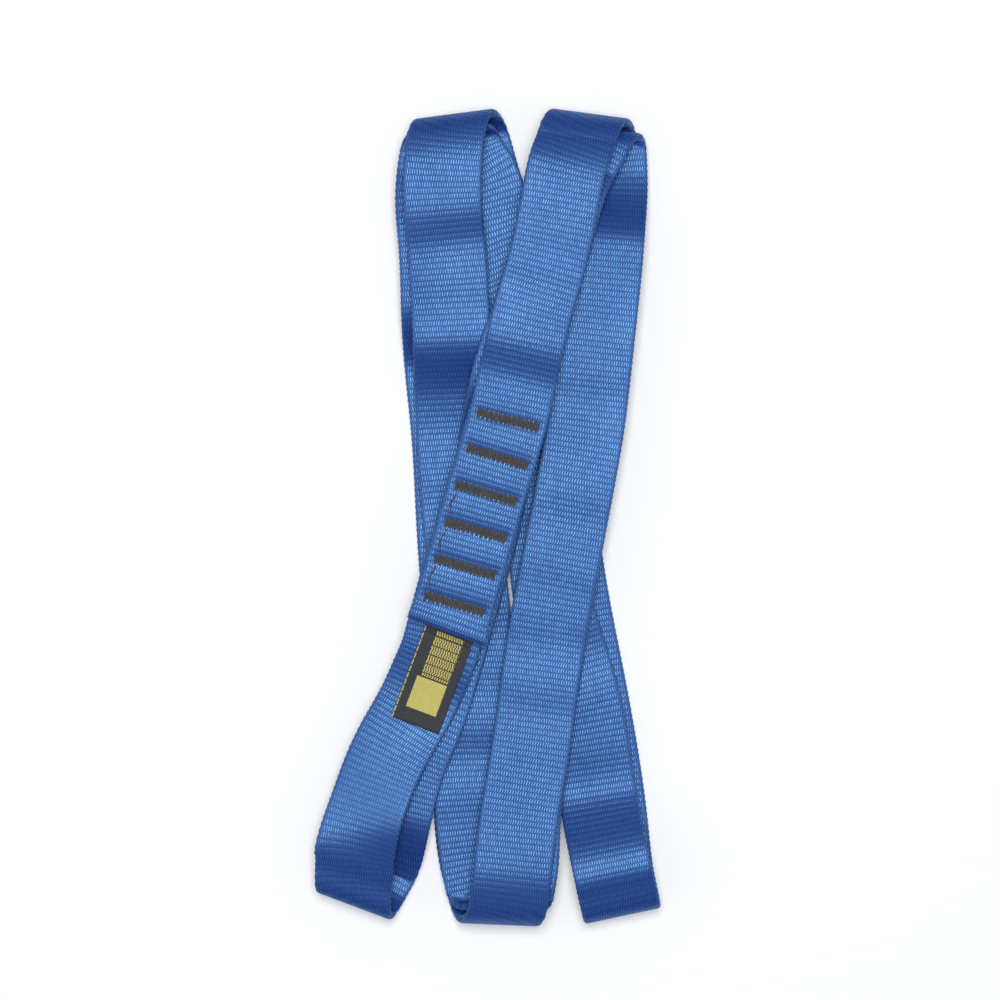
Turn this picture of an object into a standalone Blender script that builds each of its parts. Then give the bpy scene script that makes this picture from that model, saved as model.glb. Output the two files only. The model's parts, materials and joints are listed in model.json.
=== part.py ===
"""A sewn sling: one length of flat webbing joined end to end by bartacks, folded flat in four legs.

Every leg is two plies of the webbing. The plies are draped over one another from the floor up,
so a leg that crosses another climbs onto it, and round turns join the plies at the folds.
"""

import math

import bmesh
import bpy
import numpy as np
from mathutils import Matrix, Vector

MM = 0.001

# The webbing.
STRAP_WIDTH = 19.0 * MM
STRAP_THICKNESS = 2.0 * MM
STRAP_EDGE_ROUND = 0.5 * MM
STRAP_EDGE_SEGMENTS = 1
STRAP_EDGE_DEGREES = 60.0

# The folded bundle. Along and across shares in the routes follow these two sizes.
FOLDED_LENGTH = 197.5 * MM
LAY_GAP = 0.3 * MM
JOIN_GAP = 0.3 * MM
SIDE_CLEARANCE = 0.15 * MM

# The folds: radii of the webbing's mid-surface, and how far past the tangent line each turn reaches.
NEST_GAP = 0.7 * MM
INNER_TURN_RADIUS = 2.7 * MM
OUTER_TURN_RADIUS = INNER_TURN_RADIUS + STRAP_THICKNESS + NEST_GAP
END_TURN_RADIUS = 5.0 * MM
INNER_TURN_REACH = 2.7 * MM
OUTER_TURN_REACH = INNER_TURN_REACH + STRAP_THICKNESS + NEST_GAP
LEFT_END_REACH = 8.4 * MM
RIGHT_END_REACH = 6.8 * MM

# How stiffly the webbing follows what it lies on, and how soon a raised end comes down.
UNDER_PLY_EASE = 10.0 * MM
TOP_PLY_EASE = 3.0 * MM
FOLD_SETTLE = 26.0 * MM
LEFT_LOOP_SETTLE = 48.0 * MM
RIGHT_LOOP_SETTLE = 25.0 * MM
CREASE_SETTLE = 18.0 * MM
STEEPEST_LAP_PITCH = 0.12

# The sewn lap.
BARTACK_COUNT = 6
BARTACK_LENGTH = 15.3 * MM
BARTACK_WIDTH = 3.3 * MM
BARTACK_PITCH = 9.16 * MM
BARTACK_PAD = 0.5 * MM
LAST_BARTACK_FROM_CUT_END = 7.1 * MM
STITCH_COUNT = 4
STITCH_SPREAD_SHARE = 0.86
STITCH_RADIUS = 0.4 * MM
STITCH_CLEARANCE = 0.3 * MM
STITCH_SIDES = 8
PAD_GAP = 0.3 * MM
LAP_END_MARGIN = 4.5 * MM
LAP_LENGTH = LAST_BARTACK_FROM_CUT_END + (BARTACK_COUNT - 1) * BARTACK_PITCH + LAP_END_MARGIN
HELD_PAST_CUT_END = 4.2 * MM
JUMP_THREAD_RADIUS = 0.25 * MM
JUMP_THREAD_FIRST = 3
JUMP_THREAD_COUNT = 3
JUMP_THREAD_INSET_SHARE = 0.25
JUMP_THREAD_BOW_SHARE = 0.2

# The folded label: its free flap lies on the lower lap ply, and the last bartack catches its tail.
LABEL_WIDTH = 12.1 * MM
LABEL_LEAF_THICKNESS = 0.45 * MM
LABEL_LEAF_GAP = 0.35 * MM
LABEL_TAIL_LENGTH = 12.0 * MM
LABEL_TAIL_THICKNESS = 0.6 * MM
LABEL_TAIL_SHOWS = 1.2 * MM
LABEL_FLAP_START = 1.8 * MM
LABEL_FLAP_END = 23.6 * MM
LABEL_HINGE_INSET = 0.5 * MM
LABEL_TILT_DEGREES = 20.5
LABEL_EASE = 3.0 * MM
LABEL_SIDE_SHARE = 0.045
LABEL_SECTION_COUNT = 6

# Spacing of the sections that a ply is worked out on, and of those that its solid keeps.
FINE_STEP = 1.0 * MM
SOLID_STEP = 5.0 * MM
SOLID_COLUMN_COUNT = 2
TURN_SECTION_COUNT = 12
TURN_CURVE_COUNT = 200
ROUTE_SAMPLES_PER_PLACE = 52
ACROSS_SAMPLES = 13
LAP_PITCH_TRIALS = 27

BLUE = (0.045, 0.15, 0.52, 1.0)
CHARCOAL = (0.03, 0.03, 0.033, 1.0)
LABEL_GREY = (0.04, 0.042, 0.048, 1.0)
CLOTH_ROUGHNESS = 0.75

# The furthest share of its handles that a curve with two level handles of one length reaches.
CURVE_REACH_SHARE = 0.75

# Each fold's lean, in degrees from the view's down to the way square to its crease.
TOP_LEFT_LEAN = 7.4
TOP_RIGHT_LEAN = -7.5
BOTTOM_MIDDLE_LEAN = -2.4
LEFT_END_LEAN = -20.5
RIGHT_END_LEAN = 12.0

# Each ply's route in plan, from its upper end in the view down: (share of the folded length, share of the
# strap's width) from the bundle's middle, with the lean of its two ends in degrees from the view's down.
# The lower lap ply's first place is left out: it starts under the upper one, the lap's length from its end.
ROUTES = {
    "leg_4_under_ply": {
        "places_shares": [
            (0.461, -0.241), (0.416, -0.108), (0.357, 0.089), (0.311, 0.278), (0.265, 0.456),
            (0.204, 0.633), (0.143, 0.744), (0.021, 0.861), (-0.093, 1.013), (-0.194, 1.215),
            (-0.295, 1.405), (-0.385, 1.532), (-0.449, 1.620),
        ],
        "leans": (17.0, 12.0),
        "creases": {0: TOP_LEFT_LEAN, -1: RIGHT_END_LEAN},
    },
    "leg_4_top_ply": {
        "places_shares": [
            (0.458, -0.366), (0.416, -0.127), (0.357, 0.076), (0.311, 0.266), (0.265, 0.443),
            (0.204, 0.608), (0.143, 0.709), (0.021, 0.745), (-0.100, 0.800), (-0.149, 0.937),
            (-0.194, 1.082), (-0.239, 1.203), (-0.295, 1.304), (-0.340, 1.373), (-0.385, 1.456),
            (-0.449, 1.595),
        ],
        "leans": (21.0, 12.0),
        "creases": {0: TOP_LEFT_LEAN, -1: RIGHT_END_LEAN},
    },
    "leg_3_under_ply": {
        "places_shares": [
            (0.458, -0.607), (0.416, -0.684), (0.393, -0.703), (0.334, -0.665), (0.240, -0.627),
            (0.170, -0.576), (0.111, -0.513), (-0.004, -0.443), (-0.100, -0.378), (-0.222, -0.300),
            (-0.354, -0.226), (-0.426, -0.134), (-0.466, -0.030),
        ],
        "leans": (-12.0, 10.0),
        "creases": {0: TOP_LEFT_LEAN, -1: BOTTOM_MIDDLE_LEAN},
    },
    "leg_3_top_ply": {
        "places_shares": [
            (0.462, -0.557), (0.435, -0.585), (0.390, -0.595), (0.323, -0.540), (0.276, -0.506),
            (0.143, -0.456), (-0.070, -0.284), (-0.105, -0.240), (-0.154, -0.222), (-0.222, -0.228),
            (-0.354, -0.208), (-0.426, -0.122), (-0.464, -0.036),
        ],
        "leans": (-7.0, 13.0),
        "creases": {0: TOP_LEFT_LEAN, -1: BOTTOM_MIDDLE_LEAN},
    },
    "leg_2_under_ply": {
        "places_shares": [
            (0.461, 1.380), (0.432, 1.418), (0.387, 1.430), (0.311, 1.418), (0.240, 1.367),
            (0.170, 1.292), (0.111, 1.215), (0.054, 1.114), (-0.040, 0.930), (-0.152, 0.734),
            (-0.238, 0.590), (-0.295, 0.506), (-0.351, 0.425), (-0.385, 0.400), (-0.420, 0.380),
            (-0.464, 0.300),
        ],
        "leans": (1.0, -14.0),
        "creases": {0: TOP_RIGHT_LEAN, -1: BOTTOM_MIDDLE_LEAN},
    },
    "leg_2_top_ply": {
        "places_shares": [
            (0.457, 1.497), (0.404, 1.513), (0.357, 1.481), (0.311, 1.443), (0.240, 1.367),
            (0.170, 1.285), (0.111, 1.212), (0.054, 1.110), (-0.040, 0.925), (-0.108, 0.785),
            (-0.188, 0.652), (-0.238, 0.582), (-0.295, 0.494), (-0.348, 0.399), (-0.393, 0.333),
            (-0.466, 0.247),
        ],
        "leans": (2.0, -8.0),
        "creases": {0: TOP_RIGHT_LEAN, -1: BOTTOM_MIDDLE_LEAN},
    },
    "leg_1_under_ply": {
        "places_shares": [
            (0.458, 1.268), (0.426, 1.089), (0.399, 0.975), (0.350, 0.835), (0.293, 0.671),
            (0.240, 0.494), (0.165, 0.250), (0.124, 0.164), (0.060, 0.036), (0.021, -0.041),
            (-0.058, -0.240), (-0.093, -0.345), (-0.139, -0.473), (-0.180, -0.602), (-0.228, -0.746),
            (-0.275, -0.944), (-0.317, -1.101), (-0.349, -1.190), (-0.384, -1.278), (-0.431, -1.430),
        ],
        "leans": (-27.0, -30.0),
        "creases": {0: TOP_RIGHT_LEAN, -1: LEFT_END_LEAN},
    },
    "leg_1_lap_lower_ply": {
        "places_shares": [
            (-0.143, -0.575), (-0.161, -0.627), (-0.192, -0.759), (-0.228, -0.930), (-0.270, -1.177),
            (-0.310, -1.380), (-0.344, -1.513), (-0.381, -1.640), (-0.413, -1.709), (-0.431, -1.722),
        ],
        "leans": (-16.3, -4.0),
        "creases": {-1: LEFT_END_LEAN},
    },
    "leg_1_lap_upper_ply": {
        "places_shares": [
            (0.462, 1.101), (0.432, 0.994), (0.398, 0.911), (0.347, 0.810), (0.293, 0.671),
            (0.240, 0.513), (0.206, 0.435), (0.165, 0.338), (0.124, 0.246), (0.060, 0.053),
            (-0.040, -0.249), (-0.139, -0.548),
        ],
        "leans": (-15.0, -16.2),
        "creases": {0: TOP_RIGHT_LEAN},
    },
}

# The twist that the left end's loop gives the lower lap ply: (share of the folded length, degrees).
LOOP_TWIST_SHARES = [(-0.270, 0.0), (-0.330, 8.0), (-0.380, 14.0), (-0.431, 0.0)]


def sine_of(degrees):
    return math.sin(math.radians(degrees))


def cosine_of(degrees):
    return math.cos(math.radians(degrees))


def spline_through(points, start_way, end_way, samples):
    """Points along the smooth curve through the given ones, which leaves and arrives along the two ways."""
    points = np.asarray(points, float)
    gaps = np.linalg.norm(np.diff(points, axis=0), axis=1)
    knots = np.concatenate([[0.0], np.cumsum(gaps)])
    count = len(points)
    system = np.zeros((count, count))
    wanted = np.zeros((count, points.shape[1]))
    system[0, 0] = system[-1, -1] = 1.0
    wanted[0], wanted[-1] = start_way, end_way
    for i in range(1, count - 1):
        before, after = gaps[i - 1], gaps[i]
        system[i, i - 1 : i + 2] = after, 2.0 * (before + after), before
        rise = (points[i] - points[i - 1]) * after / before + (points[i + 1] - points[i]) * before / after
        wanted[i] = 3.0 * rise
    slopes = np.linalg.solve(system, wanted)
    at = np.linspace(0.0, knots[-1], samples)
    k = np.clip(np.searchsorted(knots, at, side="right") - 1, 0, count - 2)
    h = gaps[k][:, None]
    t = ((at - knots[k]) / gaps[k])[:, None]
    return (
        (2 * t**3 - 3 * t**2 + 1) * points[k]
        + (t**3 - 2 * t**2 + t) * h * slopes[k]
        + (3 * t**2 - 2 * t**3) * points[k + 1]
        + (t**3 - t**2) * h * slopes[k + 1]
    )


def evenly_spaced(curve, step):
    """The curve's points again, an equal step of about the given length apart."""
    lengths = np.concatenate([[0.0], np.cumsum(np.linalg.norm(np.diff(curve, axis=0), axis=1))])
    count = max(2, round(lengths[-1] / step) + 1)
    at = np.linspace(0.0, lengths[-1], count)
    return np.column_stack([np.interp(at, lengths, column) for column in curve.T]), at


def plan_route(name, first_place=None):
    """A ply's middle line in plan, with its heading, the way to its right-hand side and its lengths."""
    route = ROUTES[name]
    places = [(across * STRAP_WIDTH, along * FOLDED_LENGTH) for along, across in route["places_shares"]]
    if first_place is not None:
        places.insert(0, first_place)
    first, last = [(sine_of(lean), -cosine_of(lean)) for lean in route["leans"]]
    dense = spline_through(places, first, last, len(places) * ROUTE_SAMPLES_PER_PLACE)
    plan, at = evenly_spaced(dense, FINE_STEP)
    heading = np.gradient(plan, at, axis=0)
    heading[0], heading[-1] = first, last
    heading /= np.linalg.norm(heading, axis=1)[:, None]
    side = np.column_stack([-heading[:, 1], heading[:, 0]])
    return {
        "name": name,
        "plan": plan,
        "heading": heading,
        "side": side,
        "at": at,
        "width": STRAP_WIDTH,
        "creases": route["creases"],
    }


def top_under(points, below):
    """The height of the highest surface below each plan point, which is the floor where nothing lies."""
    top = np.zeros(len(points))
    for ply in below:
        away = points[:, None, :] - ply["plan"][None, :, :]
        k = np.argmin((away**2).sum(axis=2), axis=1)
        near = away[np.arange(len(points)), k]
        along = (near * ply["heading"][k]).sum(axis=1)
        across = (near * ply["side"][k]).sum(axis=1)
        step = ply["at"][1] - ply["at"][0]
        inside = np.abs(across) <= ply["width"] / 2 + SIDE_CLEARANCE
        inside &= np.abs(along) <= step + SIDE_CLEARANCE
        height = ply["level"][k] + along * ply["slope"][k] + across * ply["tilt"][k] + ply["rise"][k]
        top = np.where(inside, np.maximum(top, height), top)
    return top


def eased(values, step, reach):
    """The values smoothed over the reach each way, and nowhere below what they were."""
    half = max(1, round(reach / step))
    window = 2 * half + 1
    high = np.lib.stride_tricks.sliding_window_view(np.pad(values, half, mode="edge"), window).max(axis=1)
    weights = np.hanning(window + 2)[1:-1]
    padded = np.pad(high, half, mode="edge")
    return np.lib.stride_tricks.sliding_window_view(padded, window) @ weights / weights.sum()


def drape(ply, below, thickness, ease, flat=None, flat_clearance=0.0):
    """Sets the ply's heights, so that it rests level across on what lies below it, with the lay gap."""
    across = np.linspace(-1.0, 1.0, ACROSS_SAMPLES) * ply["width"] / 2
    count = len(ply["plan"])
    points = ply["plan"][:, None, :] + ply["side"][:, None, :] * across[None, :, None]
    under = top_under(points.reshape(-1, 2), below).reshape(count, len(across)).max(axis=1)
    under = np.where(under > 0.0, under + LAY_GAP, 0.0)
    if flat is not None:
        under = np.where(flat, under + flat_clearance, under)
    ply["tilt"] = np.zeros(count)
    ply["slope"] = np.zeros(count)
    ply["thickness"] = thickness
    for _ in range(2):
        ply["rise"] = thickness / 2 * np.sqrt(1.0 + ply["slope"] ** 2)
        need = under + ply["rise"]
        if flat is not None:
            need = flattened(need, ply["at"], flat)
        ply["level"] = eased(need, ply["at"][1] - ply["at"][0], ease)
        ply["slope"] = np.gradient(ply["level"], ply["at"])
    return ply


def flattened(need, at, flat):
    """The needed heights, with the lowest straight slope that clears them where the ply is held flat."""
    run = at[flat] - at[flat].mean()
    pitches = np.linspace(-STEEPEST_LAP_PITCH, STEEPEST_LAP_PITCH, LAP_PITCH_TRIALS)
    middles = [(need[flat] - pitch * run).max() for pitch in pitches]
    best = int(np.argmin(middles))
    need = need.copy()
    need[flat] = middles[best] + pitches[best] * run
    return need


def from_end(ply, end, settle):
    """A share that is one at an end of the ply and falls smoothly to nothing over the settling length."""
    distance = ply["at"] if end == 0 else ply["at"][-1] - ply["at"]
    return 0.5 + 0.5 * np.cos(math.pi * np.clip(distance / settle, 0.0, 1.0))


def raise_end(ply, end, height, settle):
    """Lifts one end of a ply to a height, and lets it come down over the settling length."""
    lift = np.maximum(height - ply["level"], 0.0)
    ply["level"] = ply["level"] + lift * from_end(ply, end, settle)
    ply["slope"] = np.gradient(ply["level"], ply["at"])


def lap_start(upper_ply):
    """The plan point under the upper lap ply where the lower one starts."""
    position = upper_ply["at"][-1] - LAP_LENGTH
    return tuple(np.interp(position, upper_ply["at"], column) for column in upper_ply["plan"].T)


def held_flat(ply):
    """Which sections of a ply the stitching holds flat, or None for a ply outside the lap."""
    if ply["name"] == "leg_1_lap_lower_ply":
        return ply["at"] <= LAP_LENGTH + HELD_PAST_CUT_END
    if ply["name"] == "leg_1_lap_upper_ply":
        return ply["at"] >= ply["at"][-1] - LAP_LENGTH
    return None


def lay_sling():
    """All nine plies and the label's two stretches, draped from the floor up and raised at the folds."""
    low = STRAP_THICKNESS / 2
    fold_middle = low + OUTER_TURN_RADIUS
    inner_low, inner_high = fold_middle - INNER_TURN_RADIUS, fold_middle + INNER_TURN_RADIUS
    outer_high = fold_middle + OUTER_TURN_RADIUS
    loop_high = low + 2 * END_TURN_RADIUS
    lap_clearance = BARTACK_PAD + PAD_GAP
    # name, ease, (raised height, settling length) of the upper end and of the lower end
    order = [
        ("leg_4_under_ply", UNDER_PLY_EASE, None, None),
        ("leg_4_top_ply", TOP_PLY_EASE, (inner_low, FOLD_SETTLE), (loop_high, RIGHT_LOOP_SETTLE)),
        ("leg_3_under_ply", UNDER_PLY_EASE, (inner_high, FOLD_SETTLE), None),
        ("leg_3_top_ply", TOP_PLY_EASE, (outer_high, FOLD_SETTLE), (inner_low, FOLD_SETTLE)),
        ("leg_2_under_ply", UNDER_PLY_EASE, None, (inner_high, FOLD_SETTLE)),
        ("leg_2_top_ply", TOP_PLY_EASE, (inner_low, FOLD_SETTLE), (outer_high, FOLD_SETTLE)),
        ("leg_1_under_ply", UNDER_PLY_EASE, (inner_high, FOLD_SETTLE), None),
        ("leg_1_lap_lower_ply", TOP_PLY_EASE, None, (loop_high, LEFT_LOOP_SETTLE)),
        ("leg_1_lap_upper_ply", TOP_PLY_EASE, (outer_high, FOLD_SETTLE), None),
    ]
    flap_thickness = 2 * LABEL_LEAF_THICKNESS + LABEL_LEAF_GAP
    lap_place = lap_start(plan_route("leg_1_lap_upper_ply"))
    laid = []
    for name, ease, upper, lower in order:
        ply = plan_route(name, lap_place if name == "leg_1_lap_lower_ply" else None)
        held = held_flat(ply)
        under = list(laid)
        if name == "leg_1_lap_upper_ply":
            corner = label_corner(ply)
            tail = label_strip(laid, corner, LABEL_TAIL_THICKNESS, -LABEL_TAIL_LENGTH, LABEL_TAIL_SHOWS)
            flap = label_strip(laid, corner, flap_thickness, LABEL_FLAP_START, LABEL_FLAP_END)
            under.append(tail)
        drape(ply, under, STRAP_THICKNESS, ease, held, lap_clearance if "lower" in name else 0.0)
        if upper:
            raise_end(ply, 0, *upper)
        if lower:
            raise_end(ply, -1, *lower)
        if name == "leg_1_lap_lower_ply":
            shares, degrees = zip(*[(-share, angle) for share, angle in LOOP_TWIST_SHARES])
            twist = np.interp(-ply["plan"][:, 1] / FOLDED_LENGTH, shares, degrees)
            twist = eased(twist, FINE_STEP, UNDER_PLY_EASE)
            ply["tilt"] = ply["tilt"] + np.tan(np.radians(twist))
        laid.append(ply)
    return {ply["name"]: ply for ply in laid}, tail, flap


def label_corner(upper_ply):
    """Where the label's middle line leaves the cut end of the upper lap ply, in plan."""
    end = upper_ply["plan"][-1]
    return end + upper_ply["side"][-1] * LABEL_SIDE_SHARE * STRAP_WIDTH


def label_strip(below, corner, thickness, first, last):
    """A straight stretch of the label in plan, from and to distances past the cut end, draped in place."""
    way = np.array([-sine_of(LABEL_TILT_DEGREES), -cosine_of(LABEL_TILT_DEGREES)])
    plan, at = evenly_spaced(np.array([corner + way * first, corner + way * last]), FINE_STEP)
    heading = np.repeat(way[None, :], len(plan), axis=0)
    side = np.column_stack([-heading[:, 1], heading[:, 0]])
    strip = {
        "name": "label",
        "plan": plan,
        "heading": heading,
        "side": side,
        "at": at,
        "width": LABEL_WIDTH,
        "creases": {},
    }
    return drape(strip, below, thickness, LABEL_EASE)


def crease_way(lean):
    """The level way along a fold's crease, to the right in the view."""
    return np.array([cosine_of(lean), sine_of(lean), 0.0])


def sections(ply, positions):
    """Middle points of a ply's sections at the given lengths, and the ways from there to its right edge."""
    right = np.column_stack([ply["side"], ply["tilt"]])
    right /= np.linalg.norm(right, axis=1)[:, None]
    square = right.copy()
    for end, lean in ply["creases"].items():
        share = from_end(ply, end, CREASE_SETTLE)[:, None]
        right = right * (1.0 - share) + crease_way(lean) * share
    right *= ply["width"] / 2 / (right * square).sum(axis=1)[:, None]
    middle = np.column_stack([ply["plan"], ply["level"]])
    pick = [np.column_stack([np.interp(positions, ply["at"], c) for c in rows.T]) for rows in (middle, right)]
    return pick[0], pick[1]


def ribbon(name, middle, right, thickness, round_edge):
    """A strip of cloth about a middle surface: a grid laid along the sections, thickened both ways."""
    build = bmesh.new()
    rows = len(middle) - 1
    bmesh.ops.create_grid(build, x_segments=SOLID_COLUMN_COUNT, y_segments=rows, size=1.0)
    for vertex in build.verts:
        row = round((vertex.co.y + 1.0) / 2.0 * rows)
        vertex.co = Vector(middle[row] + right[row] * vertex.co.x)
    mesh = bpy.data.meshes.new(name)
    build.to_mesh(mesh)
    build.free()
    strip = bpy.data.objects.new(name, mesh)
    thicken = strip.modifiers.new("thickness", "SOLIDIFY")
    thicken.thickness = thickness
    thicken.offset = 0.0
    thicken.use_even_offset = True
    if round_edge:
        soften = strip.modifiers.new("edges", "BEVEL")
        soften.width = round_edge
        soften.segments = STRAP_EDGE_SEGMENTS
        soften.limit_method = "ANGLE"
        soften.angle_limit = math.radians(STRAP_EDGE_DEGREES)
    return strip


def ply_solid(ply, trim_first, trim_last, step=SOLID_STEP, round_edge=STRAP_EDGE_ROUND):
    """A ply's strip, shortened where it meets a turn."""
    first = JOIN_GAP / 2 if trim_first else 0.0
    last = ply["at"][-1] - (JOIN_GAP / 2 if trim_last else 0.0)
    positions = np.linspace(first, last, round((last - first) / step) + 1)
    middle, right = sections(ply, positions)
    return ribbon(ply["name"], middle, right, ply["thickness"], round_edge)


def turn_sections(lower, upper, end, reach, count):
    """Sections of the turn round a crease, from the end of a lower ply to that of an upper one."""
    (start,), _ = sections(lower, [lower["at"][end]])
    (finish,), _ = sections(upper, [upper["at"][end]])
    crease = crease_way(lower["creases"][end])
    outward = 1.0 if end else -1.0
    leave = np.append(lower["heading"][end] * outward, 0.0)
    arrive = np.append(upper["heading"][end] * outward, 0.0)
    handle = reach / CURVE_REACH_SHARE
    control = [start, start + leave * handle, finish + arrive * handle, finish]
    t = np.linspace(0.0, 1.0, TURN_CURVE_COUNT)[:, None]
    curve = sum(
        share * point
        for share, point in zip(((1 - t) ** 3, 3 * t * (1 - t) ** 2, 3 * t**2 * (1 - t), t**3), control)
    )
    lengths = np.concatenate([[0.0], np.cumsum(np.linalg.norm(np.diff(curve, axis=0), axis=1))])
    at = np.linspace(JOIN_GAP / 2, lengths[-1] - JOIN_GAP / 2, count)
    middle = np.column_stack([np.interp(at, lengths, column) for column in curve.T])
    slants = [math.sqrt(1.0 - float(way @ crease) ** 2) for way in (leave, arrive)]
    slant = np.interp(at, [0.0, lengths[-1]], slants)[:, None]
    return middle, crease[None, :] * STRAP_WIDTH / 2 / slant


# name: (lower ply, upper ply, which end of both, reach)
TURNS = {
    "top_left_outer_turn": ("leg_4_under_ply", "leg_3_top_ply", 0, OUTER_TURN_REACH),
    "top_left_inner_turn": ("leg_4_top_ply", "leg_3_under_ply", 0, INNER_TURN_REACH),
    "bottom_middle_outer_turn": ("leg_3_under_ply", "leg_2_top_ply", -1, OUTER_TURN_REACH),
    "bottom_middle_inner_turn": ("leg_3_top_ply", "leg_2_under_ply", -1, INNER_TURN_REACH),
    "top_right_outer_turn": ("leg_2_under_ply", "leg_1_lap_upper_ply", 0, OUTER_TURN_REACH),
    "top_right_inner_turn": ("leg_2_top_ply", "leg_1_under_ply", 0, INNER_TURN_REACH),
    "left_end_turn": ("leg_1_under_ply", "leg_1_lap_lower_ply", -1, LEFT_END_REACH),
    "right_end_turn": ("leg_4_under_ply", "leg_4_top_ply", -1, RIGHT_END_REACH),
}


def material_named(name, colour, roughness):
    finish = bpy.data.materials.new(name)
    finish.use_nodes = True
    surface = finish.node_tree.nodes["Principled BSDF"]
    surface.inputs["Base Color"].default_value = colour
    surface.inputs["Roughness"].default_value = roughness
    surface.inputs["Metallic"].default_value = 0.0
    return finish


def box(name, size, centre, frame):
    """A box of the given size, in the given frame."""
    build = bmesh.new()
    bmesh.ops.create_cube(build, size=1.0)
    scale = Matrix.Diagonal((*size, 1.0))
    build.transform(frame @ Matrix.Translation(centre) @ scale)
    mesh = bpy.data.meshes.new(name)
    build.to_mesh(mesh)
    build.free()
    return bpy.data.objects.new(name, mesh)


def pin(name, radius, low, high, place, frame):
    """A round pin along the frame's third axis, from a low to a high point of it."""
    build = bmesh.new()
    bmesh.ops.create_cone(
        build, cap_ends=True, segments=STITCH_SIDES, radius1=radius, radius2=radius, depth=high - low
    )
    build.transform(frame @ Matrix.Translation((*place, (low + high) / 2)))
    mesh = bpy.data.meshes.new(name)
    build.to_mesh(mesh)
    build.free()
    return bpy.data.objects.new(name, mesh)


def boolean(target, tool, operation):
    change = target.modifiers.new(tool.name, "BOOLEAN")
    change.operation = operation
    change.solver = "EXACT"
    change.object = tool


def lap_frame(upper_ply, from_cut_end):
    """The frame of the upper lap ply's surface at a distance from its cut end: right, along, out."""
    position = upper_ply["at"][-1] - from_cut_end
    near = np.array([position - FINE_STEP, position, position + FINE_STEP])
    middle, right = sections(upper_ply, near)
    across = Vector(right[1]).normalized()
    along = Vector(middle[0] - middle[2]).normalized()
    out = across.cross(along).normalized()
    along = out.cross(across)
    frame = Matrix((across, along, out)).transposed().to_4x4()
    frame.translation = Vector(middle[1])
    return frame


def lap_depth(lower_ply, frame):
    """How far below the upper lap ply's middle the lower one's middle is, along the frame's third axis."""
    place = np.array(frame.translation)
    k = np.argmin(((lower_ply["plan"] - place[:2]) ** 2).sum(axis=1))
    across = float((place[:2] - lower_ply["plan"][k]) @ lower_ply["side"][k])
    along = float((place[:2] - lower_ply["plan"][k]) @ lower_ply["heading"][k])
    level = lower_ply["level"][k] + across * lower_ply["tilt"][k] + along * lower_ply["slope"][k]
    return (place[2] - level) * frame.col[2][2]


def stitch_places():
    spread = BARTACK_LENGTH * STITCH_SPREAD_SHARE / 2
    return [(float(x), 0.0) for x in np.linspace(-spread, spread, STITCH_COUNT)]


def bartack_frames(upper_ply):
    last = BARTACK_COUNT - 1
    ends = [LAST_BARTACK_FROM_CUT_END + (last - i) * BARTACK_PITCH for i in range(BARTACK_COUNT)]
    return [lap_frame(upper_ply, end) for end in ends]


def make_bartack(index, frame, depth, cutters):
    """One bartack: a pad on each face of the lap, joined by stitches through both plies."""
    face = STRAP_THICKNESS / 2 + PAD_GAP
    top_middle = face + BARTACK_PAD / 2
    bottom_middle = -depth - top_middle
    size = (BARTACK_LENGTH, BARTACK_WIDTH, BARTACK_PAD)
    name = f"bartack_{index + 1}"
    bartack = box(name, size, (0.0, 0.0, top_middle), frame)
    bottom = box(f"{name}_bottom_pad", size, (0.0, 0.0, bottom_middle), frame)
    boolean(bartack, bottom, "UNION")
    cutters.append(bottom)
    for j, place in enumerate(stitch_places()):
        stitch = pin(f"{name}_stitch_{j + 1}", STITCH_RADIUS, bottom_middle, top_middle, place, frame)
        boolean(bartack, stitch, "UNION")
        cutters.append(stitch)
    return bartack


def stitch_holes(frames, depths, cutters):
    """One cutter for all the stitch holes through the lap."""
    holes = bmesh.new()
    radius = STITCH_RADIUS + STITCH_CLEARANCE
    for frame, depth in zip(frames, depths):
        reach = STRAP_THICKNESS
        for place in stitch_places():
            made = bmesh.ops.create_cone(
                holes,
                cap_ends=True,
                segments=STITCH_SIDES,
                radius1=radius,
                radius2=radius,
                depth=depth + 2 * reach,
            )
            bmesh.ops.transform(
                holes, matrix=frame @ Matrix.Translation((*place, -depth / 2)), verts=made["verts"]
            )
    mesh = bpy.data.meshes.new("stitch_holes")
    holes.to_mesh(mesh)
    holes.free()
    cutter = bpy.data.objects.new("stitch_holes", mesh)
    cutters.append(cutter)
    return cutter


def thread_between(name, first, second):
    """A jump thread on the upper ply's face, from the left end of one bartack to that of the next."""
    height = STRAP_THICKNESS / 2 + PAD_GAP + JUMP_THREAD_RADIUS
    left = -BARTACK_LENGTH / 2 + BARTACK_WIDTH * JUMP_THREAD_INSET_SHARE
    edge = BARTACK_WIDTH / 2 + PAD_GAP
    start = first @ Vector((left, -edge, height))
    finish = second @ Vector((left, edge, height))
    bowed = (finish - start) / 2 - first.col[0].xyz * BARTACK_WIDTH * JUMP_THREAD_BOW_SHARE
    curve = bpy.data.curves.new(name, "CURVE")
    curve.dimensions = "3D"
    curve.bevel_depth = JUMP_THREAD_RADIUS
    curve.bevel_resolution = 1
    curve.use_fill_caps = True
    points = [start, start + bowed, finish]
    run = curve.splines.new("POLY")
    run.points.add(len(points) - 1)
    for point, place in zip(run.points, points):
        point.co = (*place, 1.0)
    return bpy.data.objects.new(name, curve)


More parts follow.
